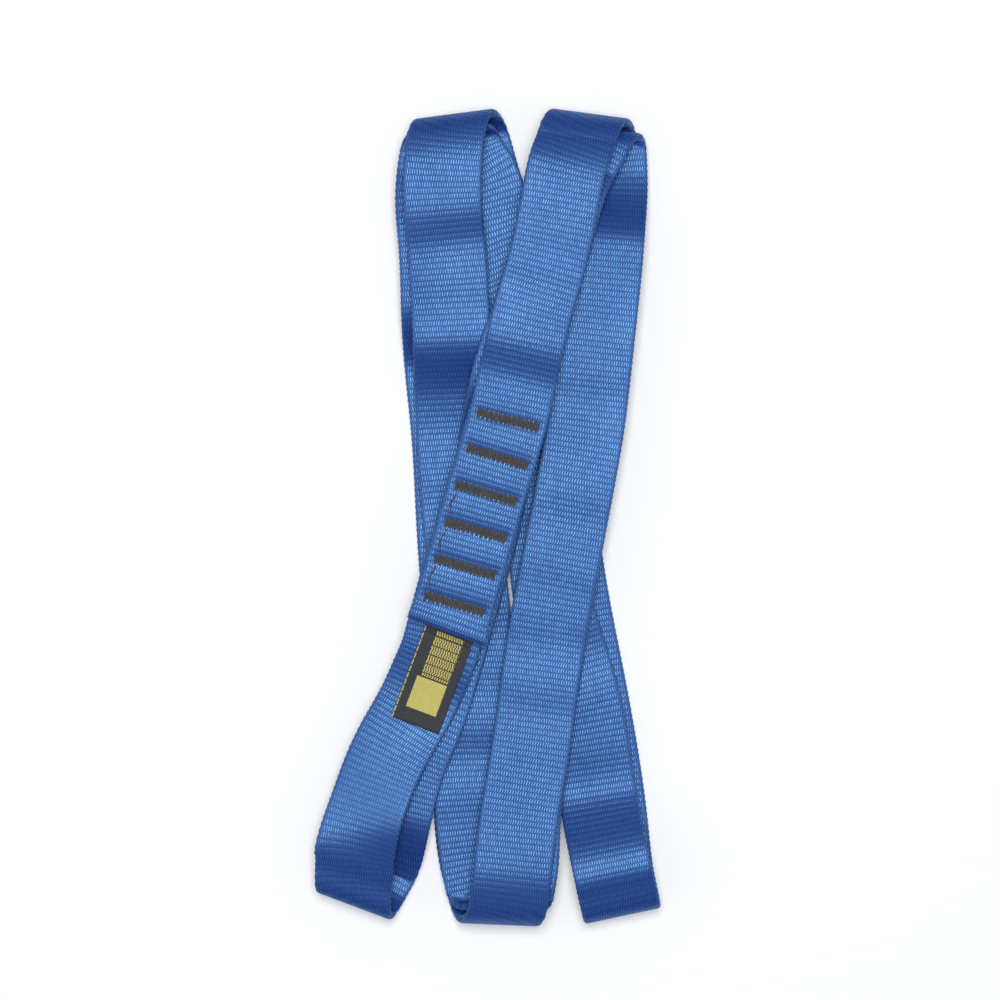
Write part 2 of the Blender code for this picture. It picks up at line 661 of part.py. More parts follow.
def label_loop(strip):
    """The label's flap: two leaves joined by a round fold at its free end, as one folded strip."""
    half_gap = (LABEL_LEAF_THICKNESS + LABEL_LEAF_GAP) / 2
    middle, right = sections(strip, np.linspace(0.0, strip["at"][-1] - half_gap, LABEL_SECTION_COUNT))
    along = np.append(strip["heading"][0], 0.0)
    out = np.cross(along, right)
    out *= np.sign(out[:, 2])[:, None] / np.linalg.norm(out, axis=1)[:, None]
    lower, upper = middle - out * half_gap, middle + out * half_gap
    angles = np.linspace(-math.pi / 2, math.pi / 2, LABEL_SECTION_COUNT)[1:-1, None]
    bend = middle[-1] + along * np.cos(angles) * half_gap + out[-1] * np.sin(angles) * half_gap
    leaves = np.concatenate([lower, bend, upper[::-1]])
    sides = np.concatenate([right, np.repeat(right[-1:], len(bend), axis=0), right[::-1]])
    return ribbon("label_flap", leaves, sides, LABEL_LEAF_THICKNESS, 0.0)


def level_frame(place, axis):
    """A frame at a place, whose X axis is level along the given way."""
    along = Vector((axis[0], axis[1], 0.0)).normalized()
    up = Vector((0.0, 0.0, 1.0))
    frame = Matrix((along, up.cross(along), up)).transposed().to_4x4()
    frame.translation = Vector(place)
    return frame


def fold_frame(lower, upper, end):
    """The axis of a fold: along its crease, midway between the ends of the two plies that the turn joins."""
    (low,), _ = sections(lower, [lower["at"][end]])
    (high,), _ = sections(upper, [upper["at"][end]])
    return level_frame((low + high) / 2, crease_way(lower["creases"][end]))


class Assembly:
    """The sling's collections, its parts by name and the empties that they turn about."""

    def __init__(self):
        scene = bpy.context.scene
        self.parts = bpy.data.collections.new("sewn_sling")
        self.tools = bpy.data.collections.new("cutters")
        scene.collection.children.link(self.parts)
        scene.collection.children.link(self.tools)
        self.empties = {}
        self.frames = {}

    def add_empty(self, name, frame, parent=None):
        empty = bpy.data.objects.new(name, None)
        empty.empty_display_size = STRAP_WIDTH / 2
        self.parts.objects.link(empty)
        self.empties[name], self.frames[name] = empty, frame
        self.attach(empty, parent)
        empty.matrix_basis = frame

    def attach(self, item, parent):
        if parent:
            item.parent = self.empties[parent]
            item.matrix_parent_inverse = self.frames[parent].inverted()

    def add_part(self, part, parent, colour, roughness=CLOTH_ROUGHNESS):
        self.parts.objects.link(part)
        part.data.materials.append(material_named(part.name, colour, roughness))
        self.attach(part, parent)

    def add_cutters(self, cutters):
        for cutter in cutters:
            self.tools.objects.link(cutter)
            cutter.hide_render = True
            cutter.display_type = "WIRE"

    def centre_on_floor(self):
        """Moves the whole sling so that it stands on Z = 0 with its middle over the origin."""
        bpy.context.view_layer.update()
        graph = bpy.context.evaluated_depsgraph_get()
        corners = []
        for item in self.parts.objects:
            if item.type != "EMPTY":
                shape = item.evaluated_get(graph)
                mesh = shape.to_mesh()
                corners += [item.matrix_world @ vertex.co for vertex in mesh.vertices]
                shape.to_mesh_clear()
        corners = np.array(corners)
        low, high = corners.min(axis=0), corners.max(axis=0)
        middle = (low + high) / 2
        move = Matrix.Translation((-middle[0], -middle[1], -low[2]))
        self.empties["sling"].matrix_basis = move
        for item in self.tools.objects:
            item.matrix_basis = move


# Which empty carries each ply and turn.
CARRIERS = {
    "leg_4_under_ply": "sling",
    "leg_4_top_ply": "sling",
    "right_end_turn": "sling",
    "top_left_outer_turn": "sling",
    "top_left_inner_turn": "sling",
    "leg_3_under_ply": "leg_3_hinge",
    "leg_3_top_ply": "leg_3_hinge",
    "bottom_middle_outer_turn": "leg_3_hinge",
    "bottom_middle_inner_turn": "leg_3_hinge",
    "leg_2_under_ply": "leg_2_hinge",
    "leg_2_top_ply": "leg_2_hinge",
    "top_right_outer_turn": "leg_2_hinge",
    "top_right_inner_turn": "leg_2_hinge",
    "leg_1_under_ply": "leg_1_hinge",
    "leg_1_lap_lower_ply": "leg_1_hinge",
    "leg_1_lap_upper_ply": "leg_1_hinge",
    "left_end_turn": "leg_1_hinge",
}


def make_hinges(assembly, plies, flap):
    assembly.add_empty("sling", Matrix.Identity(4))
    folds = [
        ("leg_3_hinge", "leg_4_under_ply", "leg_3_top_ply", 0, "sling"),
        ("leg_2_hinge", "leg_3_under_ply", "leg_2_top_ply", -1, "leg_3_hinge"),
        ("leg_1_hinge", "leg_2_under_ply", "leg_1_lap_upper_ply", 0, "leg_2_hinge"),
    ]
    for name, lower, upper, end, parent in folds:
        assembly.add_empty(name, fold_frame(plies[lower], plies[upper], end), parent)
    (start,), (right,) = sections(flap, [0.0])
    axis = start - np.append(flap["heading"][0], 0.0) * LABEL_HINGE_INSET
    assembly.add_empty("label_hinge", level_frame(axis, right), "leg_1_hinge")


def make_plies(assembly, plies, holes):
    for name, ply in plies.items():
        free_top = name == "leg_1_lap_lower_ply"
        free_bottom = name == "leg_1_lap_upper_ply"
        solid = ply_solid(ply, not free_top, not free_bottom)
        if "lap" in name:
            boolean(solid, holes, "DIFFERENCE")
        assembly.add_part(solid, CARRIERS[name], BLUE)


def make_turns(assembly, plies):
    for name, (lower, upper, end, reach) in TURNS.items():
        middle, right = turn_sections(plies[lower], plies[upper], end, reach, TURN_SECTION_COUNT)
        solid = ribbon(name, middle, right, STRAP_THICKNESS, STRAP_EDGE_ROUND)
        assembly.add_part(solid, CARRIERS[name], BLUE)


def make_label(assembly, tail, flap, holes):
    positions = np.linspace(0.0, tail["at"][-1], LABEL_SECTION_COUNT)
    middle, right = sections(tail, positions)
    solid = ribbon("label_tail", middle, right, LABEL_TAIL_THICKNESS, 0.0)
    boolean(solid, holes, "DIFFERENCE")
    assembly.add_part(solid, "leg_1_hinge", LABEL_GREY)
    assembly.add_part(label_loop(flap), "label_hinge", LABEL_GREY)


def make_stitching(assembly, frames, depths, cutters):
    for index, (frame, depth) in enumerate(zip(frames, depths)):
        assembly.add_part(make_bartack(index, frame, depth, cutters), "leg_1_hinge", CHARCOAL)
    for number in range(JUMP_THREAD_FIRST, JUMP_THREAD_FIRST + JUMP_THREAD_COUNT):
        name = f"jump_thread_{number}"
        thread = thread_between(name, frames[number - 1], frames[number])
        assembly.add_part(thread, "leg_1_hinge", CHARCOAL)


def main():
    for item in list(bpy.data.objects):
        bpy.data.objects.remove(item, do_unlink=True)
    plies, tail, flap = lay_sling()
    upper, lower = plies["leg_1_lap_upper_ply"], plies["leg_1_lap_lower_ply"]
    frames = bartack_frames(upper)
    depths = [lap_depth(lower, frame) for frame in frames]
    cutters = []
    holes = stitch_holes(frames, depths, cutters)
    assembly = Assembly()
    make_hinges(assembly, plies, flap)
    make_plies(assembly, plies, holes)
    make_turns(assembly, plies)
    make_label(assembly, tail, flap, holes)
    make_stitching(assembly, frames, depths, cutters)
    assembly.add_cutters(cutters)
    assembly.centre_on_floor()


main()
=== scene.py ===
import json
import math

import bpy
import numpy as np
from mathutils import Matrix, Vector


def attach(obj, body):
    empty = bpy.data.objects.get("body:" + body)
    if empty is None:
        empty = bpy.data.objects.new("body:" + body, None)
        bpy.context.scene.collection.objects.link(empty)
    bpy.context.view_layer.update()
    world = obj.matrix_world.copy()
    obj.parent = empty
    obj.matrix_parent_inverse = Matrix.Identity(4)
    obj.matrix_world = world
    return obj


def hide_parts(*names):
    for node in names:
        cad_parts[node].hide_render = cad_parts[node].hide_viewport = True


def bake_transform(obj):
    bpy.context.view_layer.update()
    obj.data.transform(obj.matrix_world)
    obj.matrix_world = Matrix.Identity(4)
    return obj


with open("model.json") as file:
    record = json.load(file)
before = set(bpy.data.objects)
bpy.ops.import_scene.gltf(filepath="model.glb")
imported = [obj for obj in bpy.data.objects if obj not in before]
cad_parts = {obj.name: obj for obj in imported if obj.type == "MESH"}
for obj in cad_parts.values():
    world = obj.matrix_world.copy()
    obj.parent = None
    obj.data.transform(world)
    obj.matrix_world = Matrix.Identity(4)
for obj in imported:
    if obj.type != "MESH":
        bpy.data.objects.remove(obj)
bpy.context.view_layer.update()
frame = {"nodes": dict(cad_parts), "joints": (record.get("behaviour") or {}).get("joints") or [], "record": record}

mm = 0.001
joints = {joint["name"]: joint for joint in frame["joints"]}
print("frame loaded:", len(frame["nodes"]), "nodes")

# the webbing's sizes, and how it lies, as in the CAD model
strap = {
    "width": 19.0 * mm,
    "thickness": 2.0 * mm,
    "foldedLength": 197.5 * mm,
    "layGap": 0.3 * mm,
    "sideClearance": 0.15 * mm,
    "nestGap": 0.7 * mm,
    "innerRadius": 2.7 * mm,
    "endRadius": 5.0 * mm,
    "leftReach": 8.4 * mm,
    "rightReach": 6.8 * mm,
    "underEase": 10.0 * mm,
    "topEase": 8.0 * mm,
    "foldSettle": 26.0 * mm,
    "leftSettle": 48.0 * mm,
    "rightSettle": 24.0 * mm,
    "creaseSettle": 18.0 * mm,
    "steepestLap": 0.12,
    "lapTrials": 27,
    "step": 1.0 * mm,           # spacing of the worked-out sections
    "acrossSamples": 13,
    "placeSamples": 52,
    "turnSamples": 400,
    "handleReachShare": 0.75,   # how far a curve with two level handles reaches, as a share of them
}
strap["outerRadius"] = strap["innerRadius"] + strap["thickness"] + strap["nestGap"]

lap = {
    "bars": 6,
    "barLength": 15.3 * mm,
    "barWidth": 3.3 * mm,
    "barPitch": 9.16 * mm,
    "lastBarFromEnd": 7.1 * mm,
    "pad": 0.5 * mm,
    "padGap": 0.3 * mm,
    "endMargin": 4.5 * mm,
    "heldPast": 4.2 * mm,
}
lap["length"] = lap["lastBarFromEnd"] + (lap["bars"] - 1) * lap["barPitch"] + lap["endMargin"]

label = {
    "width": 12.1 * mm,
    "leaf": 0.45 * mm,
    "leafGap": 0.35 * mm,
    "tailLength": 12.0 * mm,
    "tailThickness": 0.6 * mm,
    "tailShows": 1.7 * mm,      # to just short of the flap
    "flapStart": 1.8 * mm,
    "bendsOver": 2.2 * mm,
    "flapEnd": 23.6 * mm,
    "tilt": 20.5,
    "ease": 3.0 * mm,
    "sideShare": 0.045,
}

# lean of each fold: degrees from the view's down to the way square to its crease
lean = {"topLeft": 7.4, "topRight": -7.5, "bottomMiddle": -2.4, "leftEnd": -20.5, "rightEnd": 12.0}

# each ply in plan, from its upper end down: (share of the folded length, share of the strap's width)
routes = {
    "leg_4_under_ply": {"leans": (17.0, 12.0), "creases": {0: "topLeft", -1: "rightEnd"}, "shares": [
        (0.461, -0.241), (0.416, -0.108), (0.357, 0.089), (0.311, 0.278), (0.265, 0.456),
        (0.204, 0.633), (0.143, 0.744), (0.021, 0.861), (-0.093, 1.013), (-0.194, 1.215),
        (-0.295, 1.405), (-0.385, 1.532), (-0.449, 1.620),
    ]},
    "leg_4_top_ply": {"leans": (21.0, 12.0), "creases": {0: "topLeft", -1: "rightEnd"}, "shares": [
        (0.458, -0.366), (0.416, -0.127), (0.357, 0.076), (0.311, 0.266), (0.265, 0.443),
        (0.204, 0.608), (0.143, 0.709), (0.021, 0.745), (-0.100, 0.800), (-0.149, 0.937),
        (-0.194, 1.082), (-0.239, 1.203), (-0.295, 1.304), (-0.340, 1.373), (-0.385, 1.456),
        (-0.449, 1.595),
    ]},
    "leg_3_under_ply": {"leans": (-12.0, 10.0), "creases": {0: "topLeft", -1: "bottomMiddle"}, "shares": [
        (0.458, -0.607), (0.416, -0.684), (0.393, -0.703), (0.334, -0.665), (0.240, -0.627),
        (0.170, -0.576), (0.111, -0.513), (-0.004, -0.443), (-0.100, -0.378), (-0.222, -0.300),
        (-0.354, -0.226), (-0.426, -0.134), (-0.466, -0.030),
    ]},
    "leg_3_top_ply": {"leans": (-7.0, 13.0), "creases": {0: "topLeft", -1: "bottomMiddle"}, "shares": [
        (0.462, -0.557), (0.435, -0.585), (0.390, -0.595), (0.323, -0.540), (0.276, -0.506),
        (0.143, -0.456), (-0.070, -0.284), (-0.105, -0.240), (-0.154, -0.222), (-0.222, -0.228),
        (-0.354, -0.208), (-0.426, -0.122), (-0.464, -0.036),
    ]},
    "leg_2_under_ply": {"leans": (1.0, -14.0), "creases": {0: "topRight", -1: "bottomMiddle"}, "shares": [
        (0.461, 1.380), (0.432, 1.418), (0.387, 1.430), (0.311, 1.418), (0.240, 1.367),
        (0.170, 1.292), (0.111, 1.215), (0.054, 1.114), (-0.040, 0.930), (-0.152, 0.734),
        (-0.238, 0.590), (-0.295, 0.506), (-0.351, 0.425), (-0.385, 0.400), (-0.420, 0.380),
        (-0.464, 0.300),
    ]},
    "leg_2_top_ply": {"leans": (2.0, -8.0), "creases": {0: "topRight", -1: "bottomMiddle"}, "shares": [
        (0.457, 1.497), (0.404, 1.513), (0.357, 1.481), (0.311, 1.443), (0.240, 1.367),
        (0.170, 1.285), (0.111, 1.212), (0.054, 1.110), (-0.040, 0.925), (-0.108, 0.785),
        (-0.188, 0.652), (-0.238, 0.582), (-0.295, 0.494), (-0.348, 0.399), (-0.393, 0.333),
        (-0.466, 0.247),
    ]},
    "leg_1_under_ply": {"leans": (-27.0, -30.0), "creases": {0: "topRight", -1: "leftEnd"}, "shares": [
        (0.458, 1.268), (0.426, 1.089), (0.399, 0.975), (0.350, 0.835), (0.293, 0.671),
        (0.240, 0.494), (0.165, 0.250), (0.124, 0.164), (0.060, 0.036), (0.021, -0.041),
        (-0.058, -0.240), (-0.093, -0.345), (-0.139, -0.473), (-0.180, -0.602), (-0.228, -0.746),
        (-0.275, -0.944), (-0.317, -1.101), (-0.349, -1.190), (-0.384, -1.278), (-0.431, -1.430),
    ]},
    "leg_1_lap_lower_ply": {"leans": (-16.3, -4.0), "creases": {-1: "leftEnd"}, "shares": [
        (-0.143, -0.575), (-0.161, -0.627), (-0.192, -0.759), (-0.228, -0.930), (-0.270, -1.177),
        (-0.310, -1.380), (-0.344, -1.513), (-0.381, -1.640), (-0.413, -1.709), (-0.431, -1.722),
    ]},
    "leg_1_lap_upper_ply": {"leans": (-15.0, -16.2), "creases": {0: "topRight"}, "shares": [
        (0.462, 1.101), (0.432, 0.994), (0.398, 0.911), (0.347, 0.810), (0.293, 0.671),
        (0.240, 0.513), (0.206, 0.435), (0.165, 0.338), (0.124, 0.246), (0.060, 0.053),
        (-0.040, -0.249), (-0.139, -0.548),
    ]},
}
loopTwist = [(-0.270, 0.0), (-0.330, 8.0), (-0.380, 14.0), (-0.431, 0.0)]   # (length share, degrees)


def downAt(degrees):
    # the way down the view, turned to the right by some degrees
    return np.array([math.sin(math.radians(degrees)), -math.cos(math.radians(degrees))])


def unit(ways):
    return ways / np.linalg.norm(ways, axis=1)[:, None]


def carried(ways, shares):
    # each row's way times each of its shares, as a grid
    return ways[:, None, :] * np.atleast_2d(shares)[:, :, None]


def splineThrough(points, startWay, endWay, at=None, count=None):
    # cubic with matched slopes and bends at every point: h00 p0 + h10 m0 + h01 p1 + h11 m1
    points = np.asarray(points, float)
    gaps = np.linalg.norm(np.diff(points[:, :3], axis=0), axis=1)
    knots = np.concatenate([[0.0], np.cumsum(gaps)])
    size = len(points)
    system = np.zeros((size, size))
    wanted = np.zeros((size, points.shape[1]))
    system[0, 0] = system[-1, -1] = 1.0
    wanted[0], wanted[-1] = startWay, endWay
    inner = np.arange(1, size - 1)
    before, after = gaps[:-1], gaps[1:]
    system[inner, inner - 1] = after
    system[inner, inner] = 2.0 * (before + after)
    system[inner, inner + 1] = before
    rise = (points[1:-1] - points[:-2]) * (after / before)[:, None]
    wanted[1:-1] = 3.0 * (rise + (points[2:] - points[1:-1]) * (before / after)[:, None])
    slopes = np.linalg.solve(system, wanted)
    if at is None:
        at = np.linspace(0.0, knots[-1], count)
    k = np.clip(np.searchsorted(knots, at, side="right") - 1, 0, size - 2)
    h = gaps[k][:, None]
    t = ((at - knots[k]) / gaps[k])[:, None]
    return (
        (2 * t**3 - 3 * t**2 + 1) * points[k]
        + (t**3 - 2 * t**2 + t) * h * slopes[k]
        + (3 * t**2 - 2 * t**3) * points[k + 1]
        + (t**3 - t**2) * h * slopes[k + 1]
    )


def columnsAt(at, lengths, rows):
    return np.column_stack([np.interp(at, lengths, column) for column in rows.T])


def lengthsAlong(rows):
    # the sum of the straight steps from each row's place to the next
    return np.concatenate([[0.0], np.cumsum(np.linalg.norm(np.diff(rows[:, :3], axis=0), axis=1))])


def evenlySpaced(curve, step):
    lengths = lengthsAlong(curve)
    at = np.linspace(0.0, lengths[-1], max(2, round(lengths[-1] / step) + 1))
    return columnsAt(at, lengths, curve), at


def flatStrip(plan, at, heading, width, creases):
    side = np.column_stack([-heading[:, 1], heading[:, 0]])
    return {"plan": plan, "at": at, "heading": heading, "side": side, "width": width, "creases": creases}


def planRoute(name, firstPlace=None):
    route = routes[name]
    places = [(across * strap["width"], along * strap["foldedLength"]) for along, across in route["shares"]]
    if firstPlace is not None:
        places.insert(0, firstPlace)
    first, last = [downAt(angle) for angle in route["leans"]]
    curve = splineThrough(places, first, last, count=len(places) * strap["placeSamples"])
    plan, at = evenlySpaced(curve, strap["step"])
    heading = np.gradient(plan, at, axis=0)
    heading[0], heading[-1] = first, last
    creases = {end: lean[key] for end, key in route["creases"].items()}
    return flatStrip(plan, at, unit(heading), strap["width"], creases)


def topUnder(points, below):
    # the highest surface under each plan point; the floor where nothing lies
    top = np.zeros(len(points))
    for ply in below:
        away = points[:, None, :] - ply["plan"][None, :, :]
        k = np.argmin((away**2).sum(axis=2), axis=1)
        near = away[np.arange(len(points)), k]
        along = (near * ply["heading"][k]).sum(axis=1)
        across = (near * ply["side"][k]).sum(axis=1)
        inside = np.abs(across) <= ply["width"] / 2 + strap["sideClearance"]
        inside &= np.abs(along) <= ply["at"][1] - ply["at"][0] + strap["sideClearance"]
        height = ply["level"][k] + along * ply["slope"][k] + across * ply["tilt"][k] + ply["rise"][k]
        top = np.where(inside, np.maximum(top, height), top)
    return top


def eased(values, step, reach):
    # the largest value in a window, then a raised-cosine mean over the same window
    half = max(1, round(reach / step))
    window = 2 * half + 1
    slide = np.lib.stride_tricks.sliding_window_view
    high = slide(np.pad(values, half, mode="edge"), window).max(axis=1)
    weights = np.hanning(window + 2)[1:-1]
    return slide(np.pad(high, half, mode="edge"), window) @ weights / weights.sum()


def flattened(need, at, flat):
    # the lowest straight slope that clears the needed heights where the stitching holds the ply flat
    run = at[flat] - at[flat].mean()
    pitches = np.linspace(-strap["steepestLap"], strap["steepestLap"], strap["lapTrials"])
    middles = (need[flat][None, :] - pitches[:, None] * run[None, :]).max(axis=1)
    best = int(np.argmin(middles))
    need = need.copy()
    need[flat] = middles[best] + pitches[best] * run
    return need


def drape(ply, below, thickness, ease, flat=None, flatClearance=0.0):
    across = np.linspace(-1.0, 1.0, strap["acrossSamples"]) * ply["width"] / 2
    count = len(ply["plan"])
    points = ply["plan"][:, None, :] + carried(ply["side"], across)
    under = topUnder(points.reshape(-1, 2), below).reshape(count, len(across)).max(axis=1)
    under = np.where(under > 0.0, under + strap["layGap"], 0.0)
    if flat is not None:
        under = np.where(flat, under + flatClearance, under)
    ply["tilt"], ply["slope"] = np.zeros(count), np.zeros(count)
    ply["thickness"] = thickness
    for _ in range(2):
        ply["rise"] = thickness / 2 * np.sqrt(1.0 + ply["slope"] ** 2)
        need = under + ply["rise"]
        if flat is not None:
            need = flattened(need, ply["at"], flat)
        ply["level"] = eased(need, ply["at"][1] - ply["at"][0], ease)
        ply["slope"] = np.gradient(ply["level"], ply["at"])
    return ply


def fromEnd(ply, end, settle):
    distance = ply["at"] if end == 0 else ply["at"][-1] - ply["at"]
    return 0.5 + 0.5 * np.cos(math.pi * np.clip(distance / settle, 0.0, 1.0))


def raiseEnd(ply, end, height, settle):
    ply["level"] = ply["level"] + np.maximum(height - ply["level"], 0.0) * fromEnd(ply, end, settle)
    ply["slope"] = np.gradient(ply["level"], ply["at"])


swell = {
    "waves": [(0.30 * mm, 27.0 * mm, 0.6), (0.20 * mm, 15.5 * mm, 2.1)],     # height, length, start
    "endFade": 18.0 * mm,
    "heldFade": 10.0 * mm,
}


def swelled(ply, number, held):
    # slow swells h (1 - cos) / 2 along a loose ply, gone at its ends and where the stitching holds it
    at = ply["at"]
    free = np.minimum(at, at[-1] - at) / swell["endFade"]
    free = np.where(free < 1.0, 0.5 - 0.5 * np.cos(math.pi * np.clip(free, 0.0, 1.0)), 1.0)
    if held is not None:
        free = free * (1.0 - eased(held.astype(float), strap["step"], swell["heldFade"]))
    for height, length, start in swell["waves"]:
        wave = 0.5 - 0.5 * np.cos(2 * math.pi * at / length + start * (number + 1))
        ply["level"] = ply["level"] + height * wave * free
    ply["slope"] = np.gradient(ply["level"], at)


def labelStrip(below, corner, thickness, first, last):
    way = downAt(-label["tilt"])
    plan, at = evenlySpaced(np.array([corner + way * first, corner + way * last]), strap["step"])
    strip = flatStrip(plan, at, np.repeat(way[None, :], len(plan), axis=0), label["width"], {})
    return drape(strip, below, thickness, label["ease"])


def laySling():
    # every ply, draped from the floor up and raised at the folds, with the label's two stretches
    low = strap["thickness"] / 2
    middle = low + strap["outerRadius"]
    innerLow, innerHigh = middle - strap["innerRadius"], middle + strap["innerRadius"]
    outerHigh = middle + strap["outerRadius"]
    loopHigh = low + 2 * strap["endRadius"]
    fold = strap["foldSettle"]
    order = [   # name, ease, then (height, settling length) of the upper end and of the lower end
        ("leg_4_under_ply", "underEase", None, None),
        ("leg_4_top_ply", "topEase", (innerLow, fold), (loopHigh, strap["rightSettle"])),
        ("leg_3_under_ply", "underEase", (innerHigh, fold), None),
        ("leg_3_top_ply", "topEase", (outerHigh, fold), (innerLow, fold)),
        ("leg_2_under_ply", "underEase", None, (innerHigh, fold)),
        ("leg_2_top_ply", "topEase", (innerLow, fold), (outerHigh, fold)),
        ("leg_1_under_ply", "underEase", (innerHigh, fold), None),
        ("leg_1_lap_lower_ply", "topEase", None, (loopHigh, strap["leftSettle"])),
        ("leg_1_lap_upper_ply", "topEase", (outerHigh, fold), None),
    ]
    above = planRoute("leg_1_lap_upper_ply")
    lapPlace = tuple(columnsAt([above["at"][-1] - lap["length"]], above["at"], above["plan"])[0])
    laid = {}
    for name, ease, upper, lower in order:
        ply = planRoute(name, lapPlace if name == "leg_1_lap_lower_ply" else None)
        below, held, clearance = list(laid.values()), None, 0.0
        if name == "leg_1_lap_lower_ply":
            held, clearance = ply["at"] <= lap["length"] + lap["heldPast"], lap["pad"] + lap["padGap"]
        if name == "leg_1_lap_upper_ply":
            held = ply["at"] >= ply["at"][-1] - lap["length"]
            corner = ply["plan"][-1] + ply["side"][-1] * label["sideShare"] * strap["width"]
            tailEnds = (-label["tailLength"], label["tailShows"])
            tail = labelStrip(below, corner, label["tailThickness"], *tailEnds)
            flapThickness = 2 * label["leaf"] + label["leafGap"]
            flap = labelStrip(below, corner, flapThickness, label["flapStart"], label["flapEnd"])
            below.append(tail)
        drape(ply, below, strap["thickness"], strap[ease], held, clearance)
        if ease == "topEase" and name != "leg_1_lap_lower_ply":
            swelled(ply, len(laid), held)
        if upper:
            raiseEnd(ply, 0, *upper)
        if lower:
            raiseEnd(ply, -1, *lower)
        if name == "leg_1_lap_lower_ply":
            shares, degrees = zip(*[(-share, angle) for share, angle in loopTwist])
            twist = np.interp(-ply["plan"][:, 1] / strap["foldedLength"], shares, degrees)
            ply["tilt"] = ply["tilt"] + np.tan(np.radians(eased(twist, strap["step"], strap["underEase"])))
        laid[name] = ply
    return laid, tail, flap


def creaseWay(degrees):
    return np.array([math.cos(math.radians(degrees)), math.sin(math.radians(degrees)), 0.0])


def sections(ply, positions=None):
    # middle points, and the ways from there to the right edge, which turn to the crease near a fold
    right = unit(np.column_stack([ply["side"], ply["tilt"]]))
    square = right.copy()
    for end, degrees in ply["creases"].items():
        share = fromEnd(ply, end, strap["creaseSettle"])[:, None]
        right = right * (1.0 - share) + creaseWay(degrees) * share
    right *= ply["width"] / 2 / (right * square).sum(axis=1)[:, None]
    middle = np.column_stack([ply["plan"], ply["level"]])
    if positions is None:
        return middle, right
    return columnsAt(positions, ply["at"], middle), columnsAt(positions, ply["at"], right)


def turnSections(lower, upper, end, reach, step):
    # a Bezier with level handles from the lower ply's end to the upper one's, ruled along the crease
    (start,), _ = sections(lower, [lower["at"][end]])
    (finish,), _ = sections(upper, [upper["at"][end]])
    crease = creaseWay(lower["creases"][end])
    outward = 1.0 if end else -1.0
    handle = reach / strap["handleReachShare"]
    leave = start + np.append(lower["heading"][end] * outward, 0.0) * handle
    arrive = finish + np.append(upper["heading"][end] * outward, 0.0) * handle
    t = np.linspace(0.0, 1.0, strap["turnSamples"])[:, None]
    curve = (1 - t) ** 3 * start + 3 * t * (1 - t) ** 2 * leave + 3 * t**2 * (1 - t) * arrive + t**3 * finish
    middle, at = evenlySpaced(curve, step)
    headings = [lower["heading"][end], upper["heading"][end]]
    slants = [math.sqrt(1.0 - float(heading @ crease[:2]) ** 2) for heading in headings]
    slant = np.interp(at, [0.0, at[-1]], slants)[:, None]
    return middle, crease[None, :] * strap["width"] / 2 / slant


outerReach = strap["outerRadius"]
turns = {   # lower ply, upper ply, which end of both, reach past the tangent line
    "top_left_outer_turn": ("leg_4_under_ply", "leg_3_top_ply", 0, outerReach),
    "top_left_inner_turn": ("leg_4_top_ply", "leg_3_under_ply", 0, strap["innerRadius"]),
    "bottom_middle_outer_turn": ("leg_3_under_ply", "leg_2_top_ply", -1, outerReach),
    "bottom_middle_inner_turn": ("leg_3_top_ply", "leg_2_under_ply", -1, strap["innerRadius"]),
    "top_right_outer_turn": ("leg_2_under_ply", "leg_1_lap_upper_ply", 0, outerReach),
    "top_right_inner_turn": ("leg_2_top_ply", "leg_1_under_ply", 0, strap["innerRadius"]),
    "left_end_turn": ("leg_1_under_ply", "leg_1_lap_lower_ply", -1, strap["leftReach"]),
    "right_end_turn": ("leg_4_under_ply", "leg_4_top_ply", -1, strap["rightReach"]),
}

# the one strap, from its cut end round the whole loop: (node, runs the other way than its own sections)
chain = [
    ("leg_1_lap_upper_ply", True), ("top_right_outer_turn", True),
    ("leg_2_under_ply", False), ("bottom_middle_inner_turn", True),
    ("leg_3_top_ply", True), ("top_left_outer_turn", True),
    ("leg_4_under_ply", False), ("right_end_turn", False),
    ("leg_4_top_ply", True), ("top_left_inner_turn", False),
    ("leg_3_under_ply", False), ("bottom_middle_outer_turn", False),
    ("leg_2_top_ply", True), ("top_right_inner_turn", False),
    ("leg_1_under_ply", False), ("left_end_turn", False),
    ("leg_1_lap_lower_ply", True),
]


def wholeStrap(plies, shift):
    # the strap's middle line and half-width ways end to end, with where each stretch starts and stops
    rows, stretches, used = [], {}, 0
    for node, backward in chain:
        if node in turns:
            lower, upper, end, reach = turns[node]
            middle, right = turnSections(plies[lower], plies[upper], end, reach, strap["step"] / 2)
        else:
            middle, right = sections(plies[node])
        both = np.hstack([middle + shift, right])
        both = both[::-1] if backward else both
        first = used - 1 if rows else 0
        rows.append(both[1:] if rows else both)
        used += len(rows[-1])
        stretches[node] = (first, used - 1)
    return np.vstack(rows), stretches


plies, labelTail, labelFlap = laySling()
# the CAD model is centred over the origin: its first fold says by how much
lowEnd = sections(plies["leg_4_under_ply"], [0.0])[0][0]
highEnd = sections(plies["leg_3_top_ply"], [0.0])[0][0]
shift = np.array(joints["top_left_fold"]["pos_m"]) - (lowEnd + highEnd) / 2
strapRows, stretches = wholeStrap(plies, shift)
rowLengths = lengthsAlong(strapRows)

droop = {   # how far the upper ply already sinks where its turn starts, and over what length
    "end": (2.0 * mm, 14.0 * mm),
    "outer": (0.90 * mm, 8.0 * mm),
    "inner": (0.60 * mm, 8.0 * mm),
}


